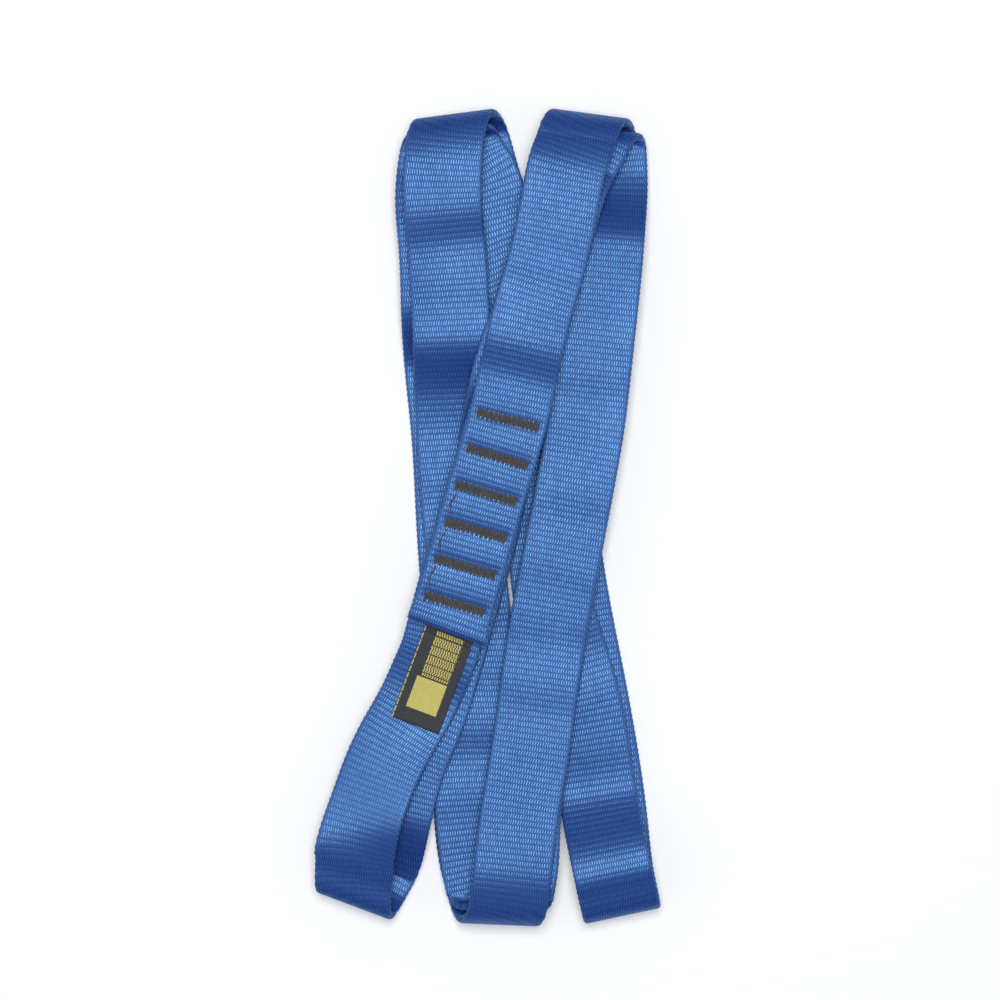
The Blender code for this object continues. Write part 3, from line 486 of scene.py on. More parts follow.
def drooped(node):
    # D (1 - d / L)^2 along the upper ply; in the turn D q^2 with the height q, and the slope let go softly
    first, last = stretches[node]
    upperIsNext = chain[[name for name, _ in chain].index(node) + 1][0] == turns[node][1]
    joint, foot, way = (last, first, 1.0) if upperIsNext else (first, last, -1.0)
    depth, length = droop[node.split("_")[-2]]
    away = (rowLengths - rowLengths[joint]) * way
    share = (strapRows[:, 2] - strapRows[foot, 2]) / (strapRows[joint, 2] - strapRows[foot, 2])
    letGo = 0.5 * (rowLengths[last] - rowLengths[first])
    x = np.clip(-away / letGo, 0.0, 1.0)
    inTurn = depth * np.clip(share, 0.0, 1.0) ** 2 + 2.0 * depth / length * letGo * x * (1.0 - x) ** 2
    inTurn[:first] = inTurn[last + 1:] = 0.0
    inPly = depth * (1.0 - np.clip(away / length, 0.0, 1.0)) ** 2
    return np.where(away >= 0.0, inPly, inTurn)


strapRows[:, 2] -= sum(drooped(node) for node in turns)
rowLengths = lengthsAlong(strapRows)
print("strap laid:", round(float(rowLengths[-1]), 4), "m from end to end")

# the woven strap
weave = {
    "columns": 44,              # of mesh faces across
    "floatPitch": 0.594 * mm,   # from one float to the next in its row
    "rowPitch": 1.39 * mm,
    "rowsPerPitch": 5,
    "relief": 0.03 * mm,        # height of each row over the grooves between rows
    "rowEnds": 4.0,             # how squarely a float ends: the power in its lengthwise fall
    "edgeRound": 0.9 * mm,      # how far in from the edge the surface starts to fall
    "edgeHalf": 0.42 * mm,      # half thickness left at the very edge
    "bead": 0.08 * mm,          # scallops of the selvage
    "pinch": 0.30 * mm,         # how far the stitching draws the lap together
    "pinchReach": 1.9 * mm,
    "pinchPast": 1.2 * mm,      # how far past the bar's ends the pinch is gone
    "pinchFade": 1.6 * mm,
    "known": 12.0 * mm,         # how much of the strap past each end its curve is drawn from
    "ahead": 0.05 * mm,         # how far on the next place is, which gives the strap's way
}
weave["columnPitch"] = strap["width"] / weave["columns"]
cutEnd = {
    "slant": -0.085,            # how far the cut leans from square, as a slope
    "flare": 0.55 * mm,         # how far the hot cut spreads each edge
    "reach": 8.0 * mm,
    "sealThins": 0.30 * mm,
    "sealReach": 1.2 * mm,
}


def smoothStep(t):
    t = np.clip(t, 0.0, 1.0)
    return t * t * (3.0 - 2.0 * t)


def meshFrom(name, points, quads, uvs, endRing=0):
    mesh = bpy.data.meshes.new(name)
    mesh.vertices.add(len(points))
    mesh.vertices.foreach_set("co", np.ascontiguousarray(points, np.float32).ravel())
    mesh.loops.add(quads.size)
    mesh.polygons.add(len(quads))
    mesh.loops.foreach_set("vertex_index", quads.astype(np.int32).ravel())
    mesh.polygons.foreach_set("loop_start", np.arange(len(quads), dtype=np.int32) * quads.shape[1])
    mesh.update(calc_edges=True)
    mesh.polygons.foreach_set("use_smooth", np.ones(len(quads), bool))
    layer = mesh.uv_layers.new(name="cloth")
    layer.data.foreach_set("uv", np.ascontiguousarray(uvs[quads.ravel()], np.float32).ravel())
    if endRing:
        # the closing faces at both ends meet the sides at a sharp edge, so that these stay evenly lit
        ends = np.empty(2 * len(mesh.edges), np.int32)
        mesh.edges.foreach_get("vertices", ends)
        ends = ends.reshape(-1, 2)
        sharp = (ends < endRing).all(axis=1) | (ends >= len(points) - endRing).all(axis=1)
        mesh.attributes.new("sharp_edge", "BOOLEAN", "EDGE").data.foreach_set("value", sharp)
    mesh.validate()
    piece = bpy.data.objects.new(name, mesh)
    bpy.context.scene.collection.objects.link(piece)
    return piece


def stripCap(first, half):
    # quads that close a ring whose second half mirrors its first
    k = np.arange(half - 1)
    return np.stack([first + k, first + 2 * half - 1 - k, first + 2 * half - 2 - k, first + k + 1], axis=-1)


def closedQuads(rows, ring):
    # quads between neighbouring rings of points, facing away from the ring's middle, and both ends closed
    i, j = np.meshgrid(np.arange(rows - 1), np.arange(ring), indexing="ij")
    a, b = i * ring + j, i * ring + (j + 1) % ring
    sides = np.stack([a, b, b + ring, a + ring], axis=-1).reshape(-1, 4)
    caps = stripCap(0, ring // 2)[:, ::-1], stripCap((rows - 1) * ring, ring // 2)
    return np.concatenate([sides, *caps])


def twoFaces(top, bottom):
    # a ring for each row: the top face's points, then the bottom face's back again
    return np.concatenate([top, bottom[:, ::-1]], axis=1)


def ringPiece(name, ring, uv):
    rows, around = ring.shape[:2]
    return meshFrom(name, ring.reshape(-1, 3), closedQuads(rows, around), uv.reshape(-1, 2), around)


def rowHeight(along):
    # each row of floats swells between its grooves: 1 - |2 f|^p
    row = along / weave["rowPitch"]
    return 1.0 - np.abs(2.0 * (row - np.floor(row)) - 1.0) ** weave["rowEnds"]


def stitchPinch(at, across, barPlaces):
    # a bell curve along the strap at each bar, flat across the bar's length
    along = np.exp(-(((at[:, None] - barPlaces[None, :]) / weave["pinchReach"]) ** 2)).max(axis=1)
    side = smoothStep((lap["barLength"] / 2 + weave["pinchPast"] - np.abs(across)) / weave["pinchFade"])
    return weave["pinch"] * along[:, None] * side[None, :]


def strapSurface(node, start, stop):
    # rows of rings round the strap: mid line + across * right + half thickness * out, top then bottom
    rows = max(8, round((stop - start) / weave["rowPitch"] * weave["rowsPerPitch"]) + 1)
    at = np.linspace(start, stop, rows)
    near = (rowLengths > start - weave["known"]) & (rowLengths < stop + weave["known"])
    known, knownAt = strapRows[near], rowLengths[near]
    ends = np.gradient(known, knownAt, axis=0)
    fine = splineThrough(known, ends[0], ends[-1], at=at - knownAt[0])
    ahead = splineThrough(known, ends[0], ends[-1], at=at - knownAt[0] + weave["ahead"])
    middle, right = fine[:, :3], fine[:, 3:]
    along = unit(ahead[:, :3] - middle)
    out = unit(np.cross(right, along))
    slide = (right * along).sum(axis=1)                    # how far a slanted ruling runs along the strap
    halfWidth = strap["width"] / 2
    across = (np.arange(weave["columns"]) + 0.5 - weave["columns"] / 2) * weave["columnPitch"]
    across = np.concatenate([[-halfWidth], across, [halfWidth]])
    share = across / halfWidth
    lengthAt = at[:, None] + slide[:, None] * share[None, :]
    toEdge = 1.0 - np.clip((halfWidth - np.abs(across)) / weave["edgeRound"], 0.0, 1.0)
    fall = np.sqrt(1.0 - toEdge ** 2)
    half = weave["edgeHalf"] + (strap["thickness"] / 2 - weave["edgeHalf"]) * fall - 0.5 * weave["relief"]
    relief = weave["relief"] * rowHeight(lengthAt)
    bead = weave["bead"] * np.cos(2 * math.pi * lengthAt / weave["rowPitch"])
    widen = np.sign(across)[None, :] * toEdge[None, :] * (bead - weave["bead"])
    flat = middle[:, None, :] + carried(right, share[None, :] + widen / halfWidth)
    # the hot cut end: spread, slanted and thinned over the last few millimetres
    spread = smoothStep(1.0 - at / cutEnd["reach"])[:, None]
    flat = flat + carried(right, share * spread * cutEnd["flare"] / halfWidth)
    flat = flat + carried(along, across[None, :] * spread * cutEnd["slant"])
    half = half[None, :] - cutEnd["sealThins"] * smoothStep(1.0 - at / cutEnd["sealReach"])[:, None]
    faces = []
    lowerBars = rowLengths[-1] - lap["length"] + barLengths
    for sign, lapNode, barPlaces in (
        (1.0, "leg_1_lap_upper_ply", barLengths), (-1.0, "leg_1_lap_lower_ply", lowerBars)
    ):
        thick = half + relief
        if node == lapNode:
            thick = thick - stitchPinch(at, across, barPlaces)
        faces.append(flat + carried(out, sign * thick))
    face = np.stack([np.broadcast_to(across[None, :], lengthAt.shape), lengthAt], axis=-1)
    return twoFaces(*faces), twoFaces(face, face)


barLengths = lap["lastBarFromEnd"] + np.arange(lap["bars"]) * lap["barPitch"]     # from the cut end
strapPieces = {}
for node, (first, last) in stretches.items():
    strapPieces[node] = ringPiece("strap_" + node, *strapSurface(node, rowLengths[first], rowLengths[last]))
print("strap woven:", sum(len(p.data.polygons) for p in strapPieces.values()), "faces")


# materials
def feed(tree, socket, value):
    # another node's output is linked, and a plain value is set
    if isinstance(value, bpy.types.NodeSocket):
        tree.links.new(value, socket)
    else:
        socket.default_value = value


def mathsIn(tree):
    # adds maths nodes to one tree
    def add(operation, *values, clamp=False):
        node = tree.nodes.new("ShaderNodeMath")
        node.operation, node.use_clamp = operation, clamp
        for socket, value in zip(node.inputs, values):
            feed(tree, socket, value)
        return node.outputs[0]
    return add


def newGroup(name, inputs, outputs):
    group = bpy.data.node_groups.new(name, "ShaderNodeTree")
    for socket, kind in inputs:
        group.interface.new_socket(socket, in_out="INPUT", socket_type=kind)
    for socket, kind in outputs:
        group.interface.new_socket(socket, in_out="OUTPUT", socket_type=kind)
    return group, group.nodes.new("NodeGroupInput"), group.nodes.new("NodeGroupOutput")


def mixColour(tree, factor, a, b):
    node = tree.nodes.new("ShaderNodeMix")
    node.data_type = "RGBA"
    for slot, value in ((0, factor), (6, a), (7, b)):
        feed(tree, node.inputs[slot], value)
    return node.outputs[2]


def noise(tree, vector, scale, detail=2.0, roughness=0.5):
    node = tree.nodes.new("ShaderNodeTexNoise")
    for name, value in (("Vector", vector), ("Scale", scale), ("Detail", detail), ("Roughness", roughness)):
        feed(tree, node.inputs[name], value)
    return node.outputs[0]


def apartIn(tree, vector):
    node = tree.nodes.new("ShaderNodeSeparateXYZ")
    tree.links.new(vector, node.inputs[0])
    return node.outputs[0], node.outputs[1]


def clothUv(tree):
    node = tree.nodes.new("ShaderNodeUVMap")
    node.uv_map = "cloth"
    return node.outputs[0]


def combined(tree, x, y):
    node = tree.nodes.new("ShaderNodeCombineXYZ")
    feed(tree, node.inputs[0], x)
    feed(tree, node.inputs[1], y)
    return node.outputs[0]


floatLook = {
    "driftScale": 260.0,
    "shearScale": 30.0,
    "shearTimes": 30.0,         # how many times stronger the broad shear is than the fine drift
    "endDip": 0.22,             # how much lower a float lies at its ends
    "fibreAcross": 9000.0,
    "fibreAlong": 900.0,
    "fibreDetail": (3.0, 0.6),
}


def floatsGroup():
    # warp floats: height 0.5 + 0.5 cos(2 pi x) (1 - |2 f|^p), leaning, and half a pitch on in each next row
    number = "NodeSocketFloat"
    group, entry, exit_ = newGroup(
        "warp_floats",
        [("Cloth", "NodeSocketVector"), ("Float Pitch", number), ("Row Pitch", number), ("Lean", number),
         ("Wander", number)],
        [("Height", number), ("Each", number), ("Fibre", number)],
    )
    calc = mathsIn(group)
    cloth, wander = entry.outputs["Cloth"], entry.outputs["Wander"]
    x, y = apartIn(group, cloth)
    drift = calc("MULTIPLY", calc("SUBTRACT", noise(group, cloth, floatLook["driftScale"]), 0.5), wander)
    row = calc("MULTIPLY_ADD", drift, 0.5, calc("DIVIDE", y, entry.outputs["Row Pitch"]))
    sheared = calc("SUBTRACT", noise(group, cloth, floatLook["shearScale"], 1.0), 0.5)
    sheared = calc("MULTIPLY", sheared, calc("MULTIPLY", wander, floatLook["shearTimes"]))
    whole = calc("FLOOR", row)
    f = calc("SUBTRACT", calc("FRACT", row), 0.5)
    odd = calc("FRACT", calc("MULTIPLY", whole, 0.5))
    phase = calc("ADD", calc("DIVIDE", x, entry.outputs["Float Pitch"]), odd)
    phase = calc("ADD", phase, calc("MULTIPLY", row, entry.outputs["Lean"]))
    phase = calc("ADD", phase, calc("ADD", drift, sheared))
    wave = calc("COSINE", calc("MULTIPLY", phase, 2 * math.pi))
    ends = calc("POWER", calc("ABSOLUTE", calc("MULTIPLY", f, 2.0)), weave["rowEnds"])
    wave = calc("MULTIPLY", wave, calc("SUBTRACT", 1.0, ends))
    height = calc("MULTIPLY_ADD", wave, 0.5, calc("MULTIPLY_ADD", ends, -floatLook["endDip"], 0.5))
    each = group.nodes.new("ShaderNodeTexWhiteNoise")
    each.noise_dimensions = "2D"
    column = calc("FLOOR", calc("ADD", phase, 0.5))
    group.links.new(combined(group, column, whole), each.inputs["Vector"])
    across = calc("MULTIPLY", x, floatLook["fibreAcross"])
    along = calc("MULTIPLY", y, floatLook["fibreAlong"])
    fibre = noise(group, combined(group, across, along), 1.0, *floatLook["fibreDetail"])
    for name, value in (("Height", height), ("Each", each.outputs[0]), ("Fibre", fibre)):
        group.links.new(value, exit_.inputs[name])
    return group


floats = floatsGroup()


def floatsIn(tree, cloth, floatPitch, rowPitch, leaning, wander):
    node = tree.nodes.new("ShaderNodeGroup")
    node.node_tree = floats
    for socket, value in zip(node.inputs, (cloth, floatPitch, rowPitch, leaning, wander)):
        feed(tree, socket, value)
    return [node.outputs[name] for name in ("Height", "Each", "Fibre")]


def newMaterial(name, fixed):
    # fixed values are set on the shader's own sockets
    material = bpy.data.materials.new(name)
    material.use_nodes = True
    surface = material.node_tree.nodes["Principled BSDF"]
    for socket, value in fixed.items():
        surface.inputs[socket].default_value = value
    return material, material.node_tree, surface


def bump(tree, height, distance, surface):
    node = tree.nodes.new("ShaderNodeBump")
    node.inputs["Distance"].default_value = distance
    tree.links.new(height, node.inputs["Height"])
    tree.links.new(node.outputs[0], surface.inputs["Normal"])


webbing = {
    # the first three colours are painted highlight, painted half shade and painted shade on the floats; sealed is
    # the melted rim's own colour
    "highlight": (0.033, 0.100, 0.345, 1.0),
    "middle": (0.005, 0.032, 0.230, 1.0),
    "dark": (0.001, 0.008, 0.125, 1.0),
    "sealed": (0.012, 0.025, 0.10, 1.0),
    "lean": -0.20,
    "wander": 0.22,
    "eachVaries": 0.14,
    "fibreVaries": 0.20,
    "broadVaries": 0.16,
    "broadScale": 48.0,
    "crownRoughness": 0.31,
    "grooveRoughness": 0.62,
    "fibreRoughness": 0.08,
    "broadRoughness": 0.24,
    "selvage": 0.55 * mm,       # width of the border of beads along both edges
    "selvageShows": 0.6,
    "seal": 0.8 * mm,           # width of the melted rim at the cut end
    "fibreStands": 0.12,        # share of the fibres in the bump
    "bump": 0.032 * mm,
    "shader": {
        "IOR": 2.0,
        "Specular IOR Level": 0.95,
        "Specular Tint": (0.25, 0.55, 1.0, 1.0),
        "Anisotropic": 0.8,     # the filaments run along: their gloss is narrow lengthwise, broad across
        "Sheen Weight": 0.02,
        "Sheen Roughness": 0.4,
        "Sheen Tint": (0.5, 0.7, 1.0, 1.0),
    },
}


def webbingMaterial():
    material, tree, surface = newMaterial("blue_webbing", webbing["shader"])
    calc = mathsIn(tree)
    cloth = clothUv(tree)
    pitches = (weave["floatPitch"], weave["rowPitch"])
    height, each, fibre = floatsIn(tree, cloth, *pitches, webbing["lean"], webbing["wander"])
    x, y = apartIn(tree, cloth)
    where = tree.nodes.new("ShaderNodeTexCoord").outputs["Object"]
    broad = noise(tree, where, webbing["broadScale"])
    # painted highlight along the crown of each float, painted half shade where rows meet and painted shade in the
    # grooves, with random tone from each float, the fibres and broad patches
    level = height
    for source, varies in ((each, "eachVaries"), (fibre, "fibreVaries"), (broad, "broadVaries")):
        change = calc("MULTIPLY_ADD", source, webbing[varies], -webbing[varies] / 2)
        level = calc("ADD", level, change)
    # masks that blend from the painted shade through the half shade up to the painted highlight
    upper = calc("MULTIPLY_ADD", level, 2.0, -1.0, clamp=True)
    lower = calc("MULTIPLY", level, 2.0, clamp=True)
    colour = mixColour(tree, lower, webbing["dark"], webbing["middle"])
    colour = mixColour(tree, upper, colour, webbing["highlight"])
    # the selvage: a border of beads, one to a row of floats, with painted highlight on each bead and painted shade
    # between them
    inward = calc("SUBTRACT", strap["width"] / 2, calc("ABSOLUTE", x))
    border = calc("SUBTRACT", 1.0, calc("DIVIDE", inward, webbing["selvage"]), clamp=True)
    beads = calc("COSINE", calc("MULTIPLY", y, 2 * math.pi / weave["rowPitch"]))
    beads = mixColour(tree, calc("MULTIPLY_ADD", beads, 0.5, 0.5), webbing["dark"], webbing["highlight"])
    colour = mixColour(tree, calc("MULTIPLY", border, webbing["selvageShows"]), colour, beads)
    sealed = calc("SUBTRACT", 1.0, calc("DIVIDE", y, webbing["seal"]), clamp=True)
    colour = mixColour(tree, sealed, colour, webbing["sealed"])
    tree.links.new(colour, surface.inputs["Base Color"])
    rough = calc("MULTIPLY_ADD", upper, webbing["crownRoughness"] - webbing["grooveRoughness"],
                 webbing["grooveRoughness"])
    for source, varies in ((fibre, "fibreRoughness"), (broad, "broadRoughness")):
        change = calc("MULTIPLY_ADD", source, webbing[varies], -webbing[varies] / 2)
        rough = calc("ADD", rough, change)
    tree.links.new(rough, surface.inputs["Roughness"])
    across = tree.nodes.new("ShaderNodeTangent")
    across.direction_type, across.uv_map = "UV_MAP", "cloth"
    tree.links.new(across.outputs[0], surface.inputs["Tangent"])
    bump(tree, calc("MULTIPLY_ADD", fibre, webbing["fibreStands"], height), webbing["bump"], surface)
    return material


webbingBlue = webbingMaterial()
for piece in strapPieces.values():
    piece.data.materials.append(webbingBlue)
print("webbing finished")

# the stitching
stitching = {
    "threadRadius": 0.19 * mm,
    "sides": 6,
    "teeth": 14,
    "passes": 3,
    "passShift": 0.16,          # of a stitch, from one pass to the next
    "passHeight": 0.07 * mm,
    "wobble": 0.05 * mm,
    "reaches": (-0.18, 0.04),   # share of half the bar's width that a stitch falls short or goes past
    "pointsPerStitch": 5,
    "puff": 0.34 * mm,
    "sink": 0.30 * mm,
    "drawnIn": 0.22 * mm,       # how far the pinched lap lets the bar down
    "seed": 11,
    "underSeed": 61,
    "coreApart": 0.55 * mm,     # the straight stitches that the zigzag covers
    "coreShare": 0.46,
    "corePoints": 9,
    "coreHeight": 0.05 * mm,
}
jump = {
    "threadRadius": 0.15 * mm,
    "sides": 8,
    "points": 25,
    "between": (3, 4, 5),       # the bar that each starts from, counted from the top
    "insetShare": 0.25,         # of the bar's width, in from its left end
    "bowShare": 0.16,
    "height": 0.12 * mm,
    "dive": 0.35 * mm,
    "sway": 0.14 * mm,
}


def lapFrame(upper, fromCutEnd):
    # right, along and out of the upper lap ply's face at a distance from its cut end
    position = upper["at"][-1] - fromCutEnd
    middle, right = sections(upper, np.array([position - strap["step"], position, position + strap["step"]]))
    middle = middle + shift
    across = right[1] / np.linalg.norm(right[1])
    out = np.cross(across, middle[0] - middle[2])
    out /= np.linalg.norm(out)
    return {"place": middle[1], "across": across, "along": np.cross(out, across), "out": out}


def lapDepth(lower, bar):
    # how far the lower lap ply's middle lies under the upper one's, square to the face
    place = bar["place"] - shift
    k = np.argmin(((lower["plan"] - place[:2]) ** 2).sum(axis=1))
    away = place[:2] - lower["plan"][k]
    level = lower["level"][k] + away @ lower["side"][k] * lower["tilt"][k]
    level += away @ lower["heading"][k] * lower["slope"][k]
    return (place[2] - level) * bar["out"][2]


bars = []
for fromCutEnd in barLengths[::-1]:
    bar = lapFrame(plies["leg_1_lap_upper_ply"], fromCutEnd)
    bar["depth"] = lapDepth(plies["leg_1_lap_lower_ply"], bar)
    bars.append(bar)


def tubeMesh(points, radius, sides, up):
    # rings square to the path: point + radius * (cos a * side + sin a * lift), with closed ends
    ways = unit(np.gradient(points, axis=0))
    side = unit(np.cross(ways, up))
    lift = np.cross(side, ways)
    angles = np.linspace(0.0, 2 * math.pi, sides, endpoint=False)
    ring = points[:, None, :] + radius * (carried(side, np.cos(angles)) + carried(lift, np.sin(angles)))
    u = np.broadcast_to((angles / (2 * math.pi))[None, :], (len(points), sides))
    uv = np.stack([u, np.broadcast_to(lengthsAlong(points)[:, None], u.shape)], axis=-1)
    return ring.reshape(-1, 3), closedQuads(len(points), sides), uv.reshape(-1, 2)


def joined(name, parts):
    points, quads, uvs, used = [], [], [], 0
    for p, q, uv in parts:
        points.append(p)
        quads.append(q + used)
        uvs.append(uv)
        used += len(p)
    return meshFrom(name, np.vstack(points), np.vstack(quads), np.vstack(uvs))


def zigzag(bar, sign, seed):
    # passes of a triangle wave along the bar; the thread puffs up mid-stitch and dives in at the tips
    chance = np.random.default_rng(seed)
    face = strap["thickness"] / 2 - stitching["drawnIn"]
    count = 2 * stitching["teeth"] + 1
    each = np.arange(count)
    pitch = lap["barLength"] / (count - 1)
    paths = []
    for number in range(stitching["passes"]):
        fromMiddle = number - (stitching["passes"] - 1) / 2
        x = (each - (count - 1) / 2) * pitch
        x = x + fromMiddle * pitch * stitching["passShift"] + chance.normal(0.0, stitching["wobble"], count)
        x = np.clip(x, -lap["barLength"] / 2, lap["barLength"] / 2)
        reach = lap["barWidth"] / 2 * (1.0 + chance.uniform(*stitching["reaches"], count))
        y = reach * np.where(each % 2 == 0, 1.0, -1.0)
        t = np.linspace(0.0, count - 1.0, (count - 1) * stitching["pointsPerStitch"] + 1)
        inStitch = np.abs(t - np.round(t)) * 2.0
        z = -stitching["sink"] + (stitching["sink"] + stitching["puff"]) * np.sqrt(inStitch)
        z = z + fromMiddle * stitching["passHeight"]
        paths.append((np.interp(t, each, x), np.interp(t, each, y), z))
    core = np.linspace(-stitching["coreShare"], stitching["coreShare"], stitching["corePoints"])
    for side in (-1, 0, 1):
        level = np.full(len(core), stitching["coreHeight"])
        paths.append((core * lap["barLength"], np.full(len(core), side * stitching["coreApart"]), level))
    parts = []
    for x, y, z in paths:
        points = bar["place"] + x[:, None] * bar["across"] + y[:, None] * bar["along"]
        points = points + (sign * (face + z))[:, None] * bar["out"]
        parts.append(tubeMesh(points, stitching["threadRadius"], stitching["sides"], bar["out"]))
    return parts


bartacks = []
for number, bar in enumerate(bars):
    under = dict(bar, place=bar["place"] - bar["depth"] * bar["out"])
    threads = zigzag(bar, 1.0, stitching["seed"] + number)
    threads += zigzag(under, -1.0, stitching["underSeed"] + number)
    bartacks.append(joined(f"bartack_thread_{number + 1}", threads))


def jumpThread(name, first, second):
    # a slack thread from the left end of one bar to that of the next, in a bow that sways
    left = -lap["barLength"] / 2 + lap["barWidth"] * jump["insetShare"]
    edge = lap["barWidth"] / 2
    height = strap["thickness"] / 2 + jump["height"]
    start = first["place"] + left * first["across"] - edge * first["along"] + height * first["out"]
    stop = second["place"] + left * second["across"] + edge * second["along"] + height * second["out"]
    t = np.linspace(0.0, 1.0, jump["points"])[:, None]
    bow = np.sin(math.pi * t)
    points = start * (1 - t) + stop * t - first["across"] * bow * lap["barWidth"] * jump["bowShare"]
    points = points + first["out"] * (bow * jump["height"] - jump["dive"] * (1 - bow) ** 4)
    points = points + first["across"] * np.sin(3 * math.pi * t) * jump["sway"]
    return joined(name, [tubeMesh(points, jump["threadRadius"], jump["sides"], first["out"])])


jumps = {}
for number in jump["between"]:
    jumps[number] = jumpThread(f"slack_thread_{number}", bars[number - 1], bars[number])

thread = {
    "dark": (0.036, 0.036, 0.040, 1.0),
    # the second colour is painted glints on the dark charcoal thread
    "highlight": (0.20, 0.182, 0.162, 1.0),
    "turnsPerMetre": 2600.0,
    "strands": 2,
    "strandShading": 0.22,
    "glintScale": 1500.0,
    "glintDetail": (3.0, 0.7),
    "glintShows": 1.1,
    "glintFrom": 0.25,
    "roughness": (0.3, 0.35),   # what a glint adds, and where there is none
    "bump": 0.04 * mm,
}


def threadMaterial():
    material, tree, surface = newMaterial("charcoal_thread", {"Sheen Weight": 0.15})
    calc = mathsIn(tree)
    around, along = apartIn(tree, clothUv(tree))
    twist = calc("MULTIPLY_ADD", along, thread["turnsPerMetre"], around)
    # the twist of the strands, painted into the colour as light and shade on their ridges and also given to the
    # bump
    strand = calc("SINE", calc("MULTIPLY", twist, 2 * math.pi * thread["strands"]))
    where = tree.nodes.new("ShaderNodeTexCoord").outputs["Object"]
    # painted glints from a noise, which also varies the roughness
    glint = noise(tree, where, thread["glintScale"], *thread["glintDetail"])
    highlight = calc("MULTIPLY_ADD", glint, thread["glintShows"], -thread["glintFrom"])
    highlight = calc("MULTIPLY_ADD", strand, thread["strandShading"], highlight, clamp=True)
    tree.links.new(mixColour(tree, highlight, thread["dark"], thread["highlight"]), surface.inputs["Base Color"])
    tree.links.new(calc("MULTIPLY_ADD", glint, *thread["roughness"]), surface.inputs["Roughness"])
    bump(tree, strand, thread["bump"], surface)
    return material


charcoal = threadMaterial()
for piece in [*bartacks, *jumps.values()]:
    piece.data.materials.append(charcoal)
print("stitching made:", len(bartacks), "bars")

# the folded label
weftTape = {
    "ribs": 26,
    "rows": 60,
    "bendPoints": 7,
    "tailRows": 16,
    "tailGap": 0.1 * mm,        # in the pattern, between the root of the flap and the tail
    "edgePower": 24,            # how squarely the edges end
    "edgeShare": 0.3,           # of the thickness, left at the edges
}


def tapeSurface(middle, right, out, thickness, startLength):
    # rings round a thin tape: mid + share * right, half the thickness out on each face
    share = np.linspace(-1.0, 1.0, weftTape["ribs"])
    full = np.sqrt(np.clip(1.0 - np.abs(share) ** weftTape["edgePower"], 0.0, 1.0))
    edge = full * (1.0 - weftTape["edgeShare"]) + weftTape["edgeShare"]
    flat = middle[:, None, :] + carried(right, share)
    offset = carried(out, thickness / 2 * edge)
    u = np.broadcast_to((share * label["width"] / 2)[None, :], offset.shape[:2])
    v = np.broadcast_to((startLength + lengthsAlong(middle))[:, None], u.shape)
    face = np.stack([u, v], axis=-1)
    return twoFaces(flat + offset, flat - offset), twoFaces(face, face)


def upFrom(strip, right):
    # square to a flat strip's way and to its rulings, turned upwards
    out = np.cross(np.append(strip["heading"][0], 0.0), right)
    return out * (np.sign(out[:, 2]) / np.linalg.norm(out, axis=1))[:, None]


def flapLeaves():
    # lower leaf out, half a turn at the free end, upper leaf back
    halfGap = (label["leaf"] + label["leafGap"]) / 2
    middle, right = sections(labelFlap, np.linspace(0.0, labelFlap["at"][-1] - halfGap, weftTape["rows"]))
    middle = middle + shift
    out = upFrom(labelFlap, right)
    angles = np.linspace(-math.pi / 2, math.pi / 2, weftTape["bendPoints"] + 2)[1:-1, None]
    turned = np.append(labelFlap["heading"][0], 0.0) * np.cos(angles) + out[-1] * np.sin(angles)
    lower, upper = middle - out * halfGap, middle + out * halfGap
    path = np.concatenate([lower, middle[-1] + halfGap * turned, upper[::-1]])
    sides = np.concatenate([right, np.repeat(right[-1:], len(turned), axis=0), right[::-1]])
    return path, sides, np.concatenate([-out, turned, out[::-1]])


flapRing, flapUv = tapeSurface(*flapLeaves(), label["leaf"], 0.0)
flapPiece = ringPiece("label_leaves", flapRing, flapUv)
tailLength = labelTail["at"][-1]
tailMiddle, tailRight = sections(labelTail, np.linspace(0.0, tailLength, weftTape["tailRows"]))
tailPiece = ringPiece("label_root", *tapeSurface(
    tailMiddle + shift, tailRight, upFrom(labelTail, tailRight), label["tailThickness"],
    -weftTape["tailGap"] - tailLength))

tape = {
    # warp and yellow are the label's own colours; the second of each pair is the painted shade between the threads
    "warp": (0.050, 0.054, 0.062, 1.0),
    "warpShade": (0.018, 0.019, 0.023, 1.0),
    "yellow": (0.80, 0.70, 0.19, 1.0),
    "yellowShade": (0.34, 0.27, 0.06, 1.0),
    "threadPitch": 0.16 * mm,
    "pickPitch": 0.28 * mm,
    "wave": (-2.9 * mm, 4.0 * mm, -1.2 * mm, 10.1 * mm),    # left, right, top and bottom
    "block": (-3.7 * mm, 3.9 * mm, 10.5 * mm, 18.4 * mm),
    "stripePitch": 0.62 * mm,
    "stripeGap": 0.42,              # of the pitch
    "swayPitch": 1.25 * mm,
    "sway": 0.11 * mm,
    "crossPitch": 2.3 * mm,
    "crossGap": 0.10,
    "edgeLine": 0.30 * mm,
    "dashPitch": 1.7 * mm,
    "dashGap": 0.22,
    "eachFades": 0.25,
    "heightShades": (-0.55, 0.45),
    "figureStands": 0.5,            # how far the figure stands out in the bump
    "bump": 0.04 * mm,
}
tape["pathLength"] = float(flapUv[..., 1].max())      # from the root out and back


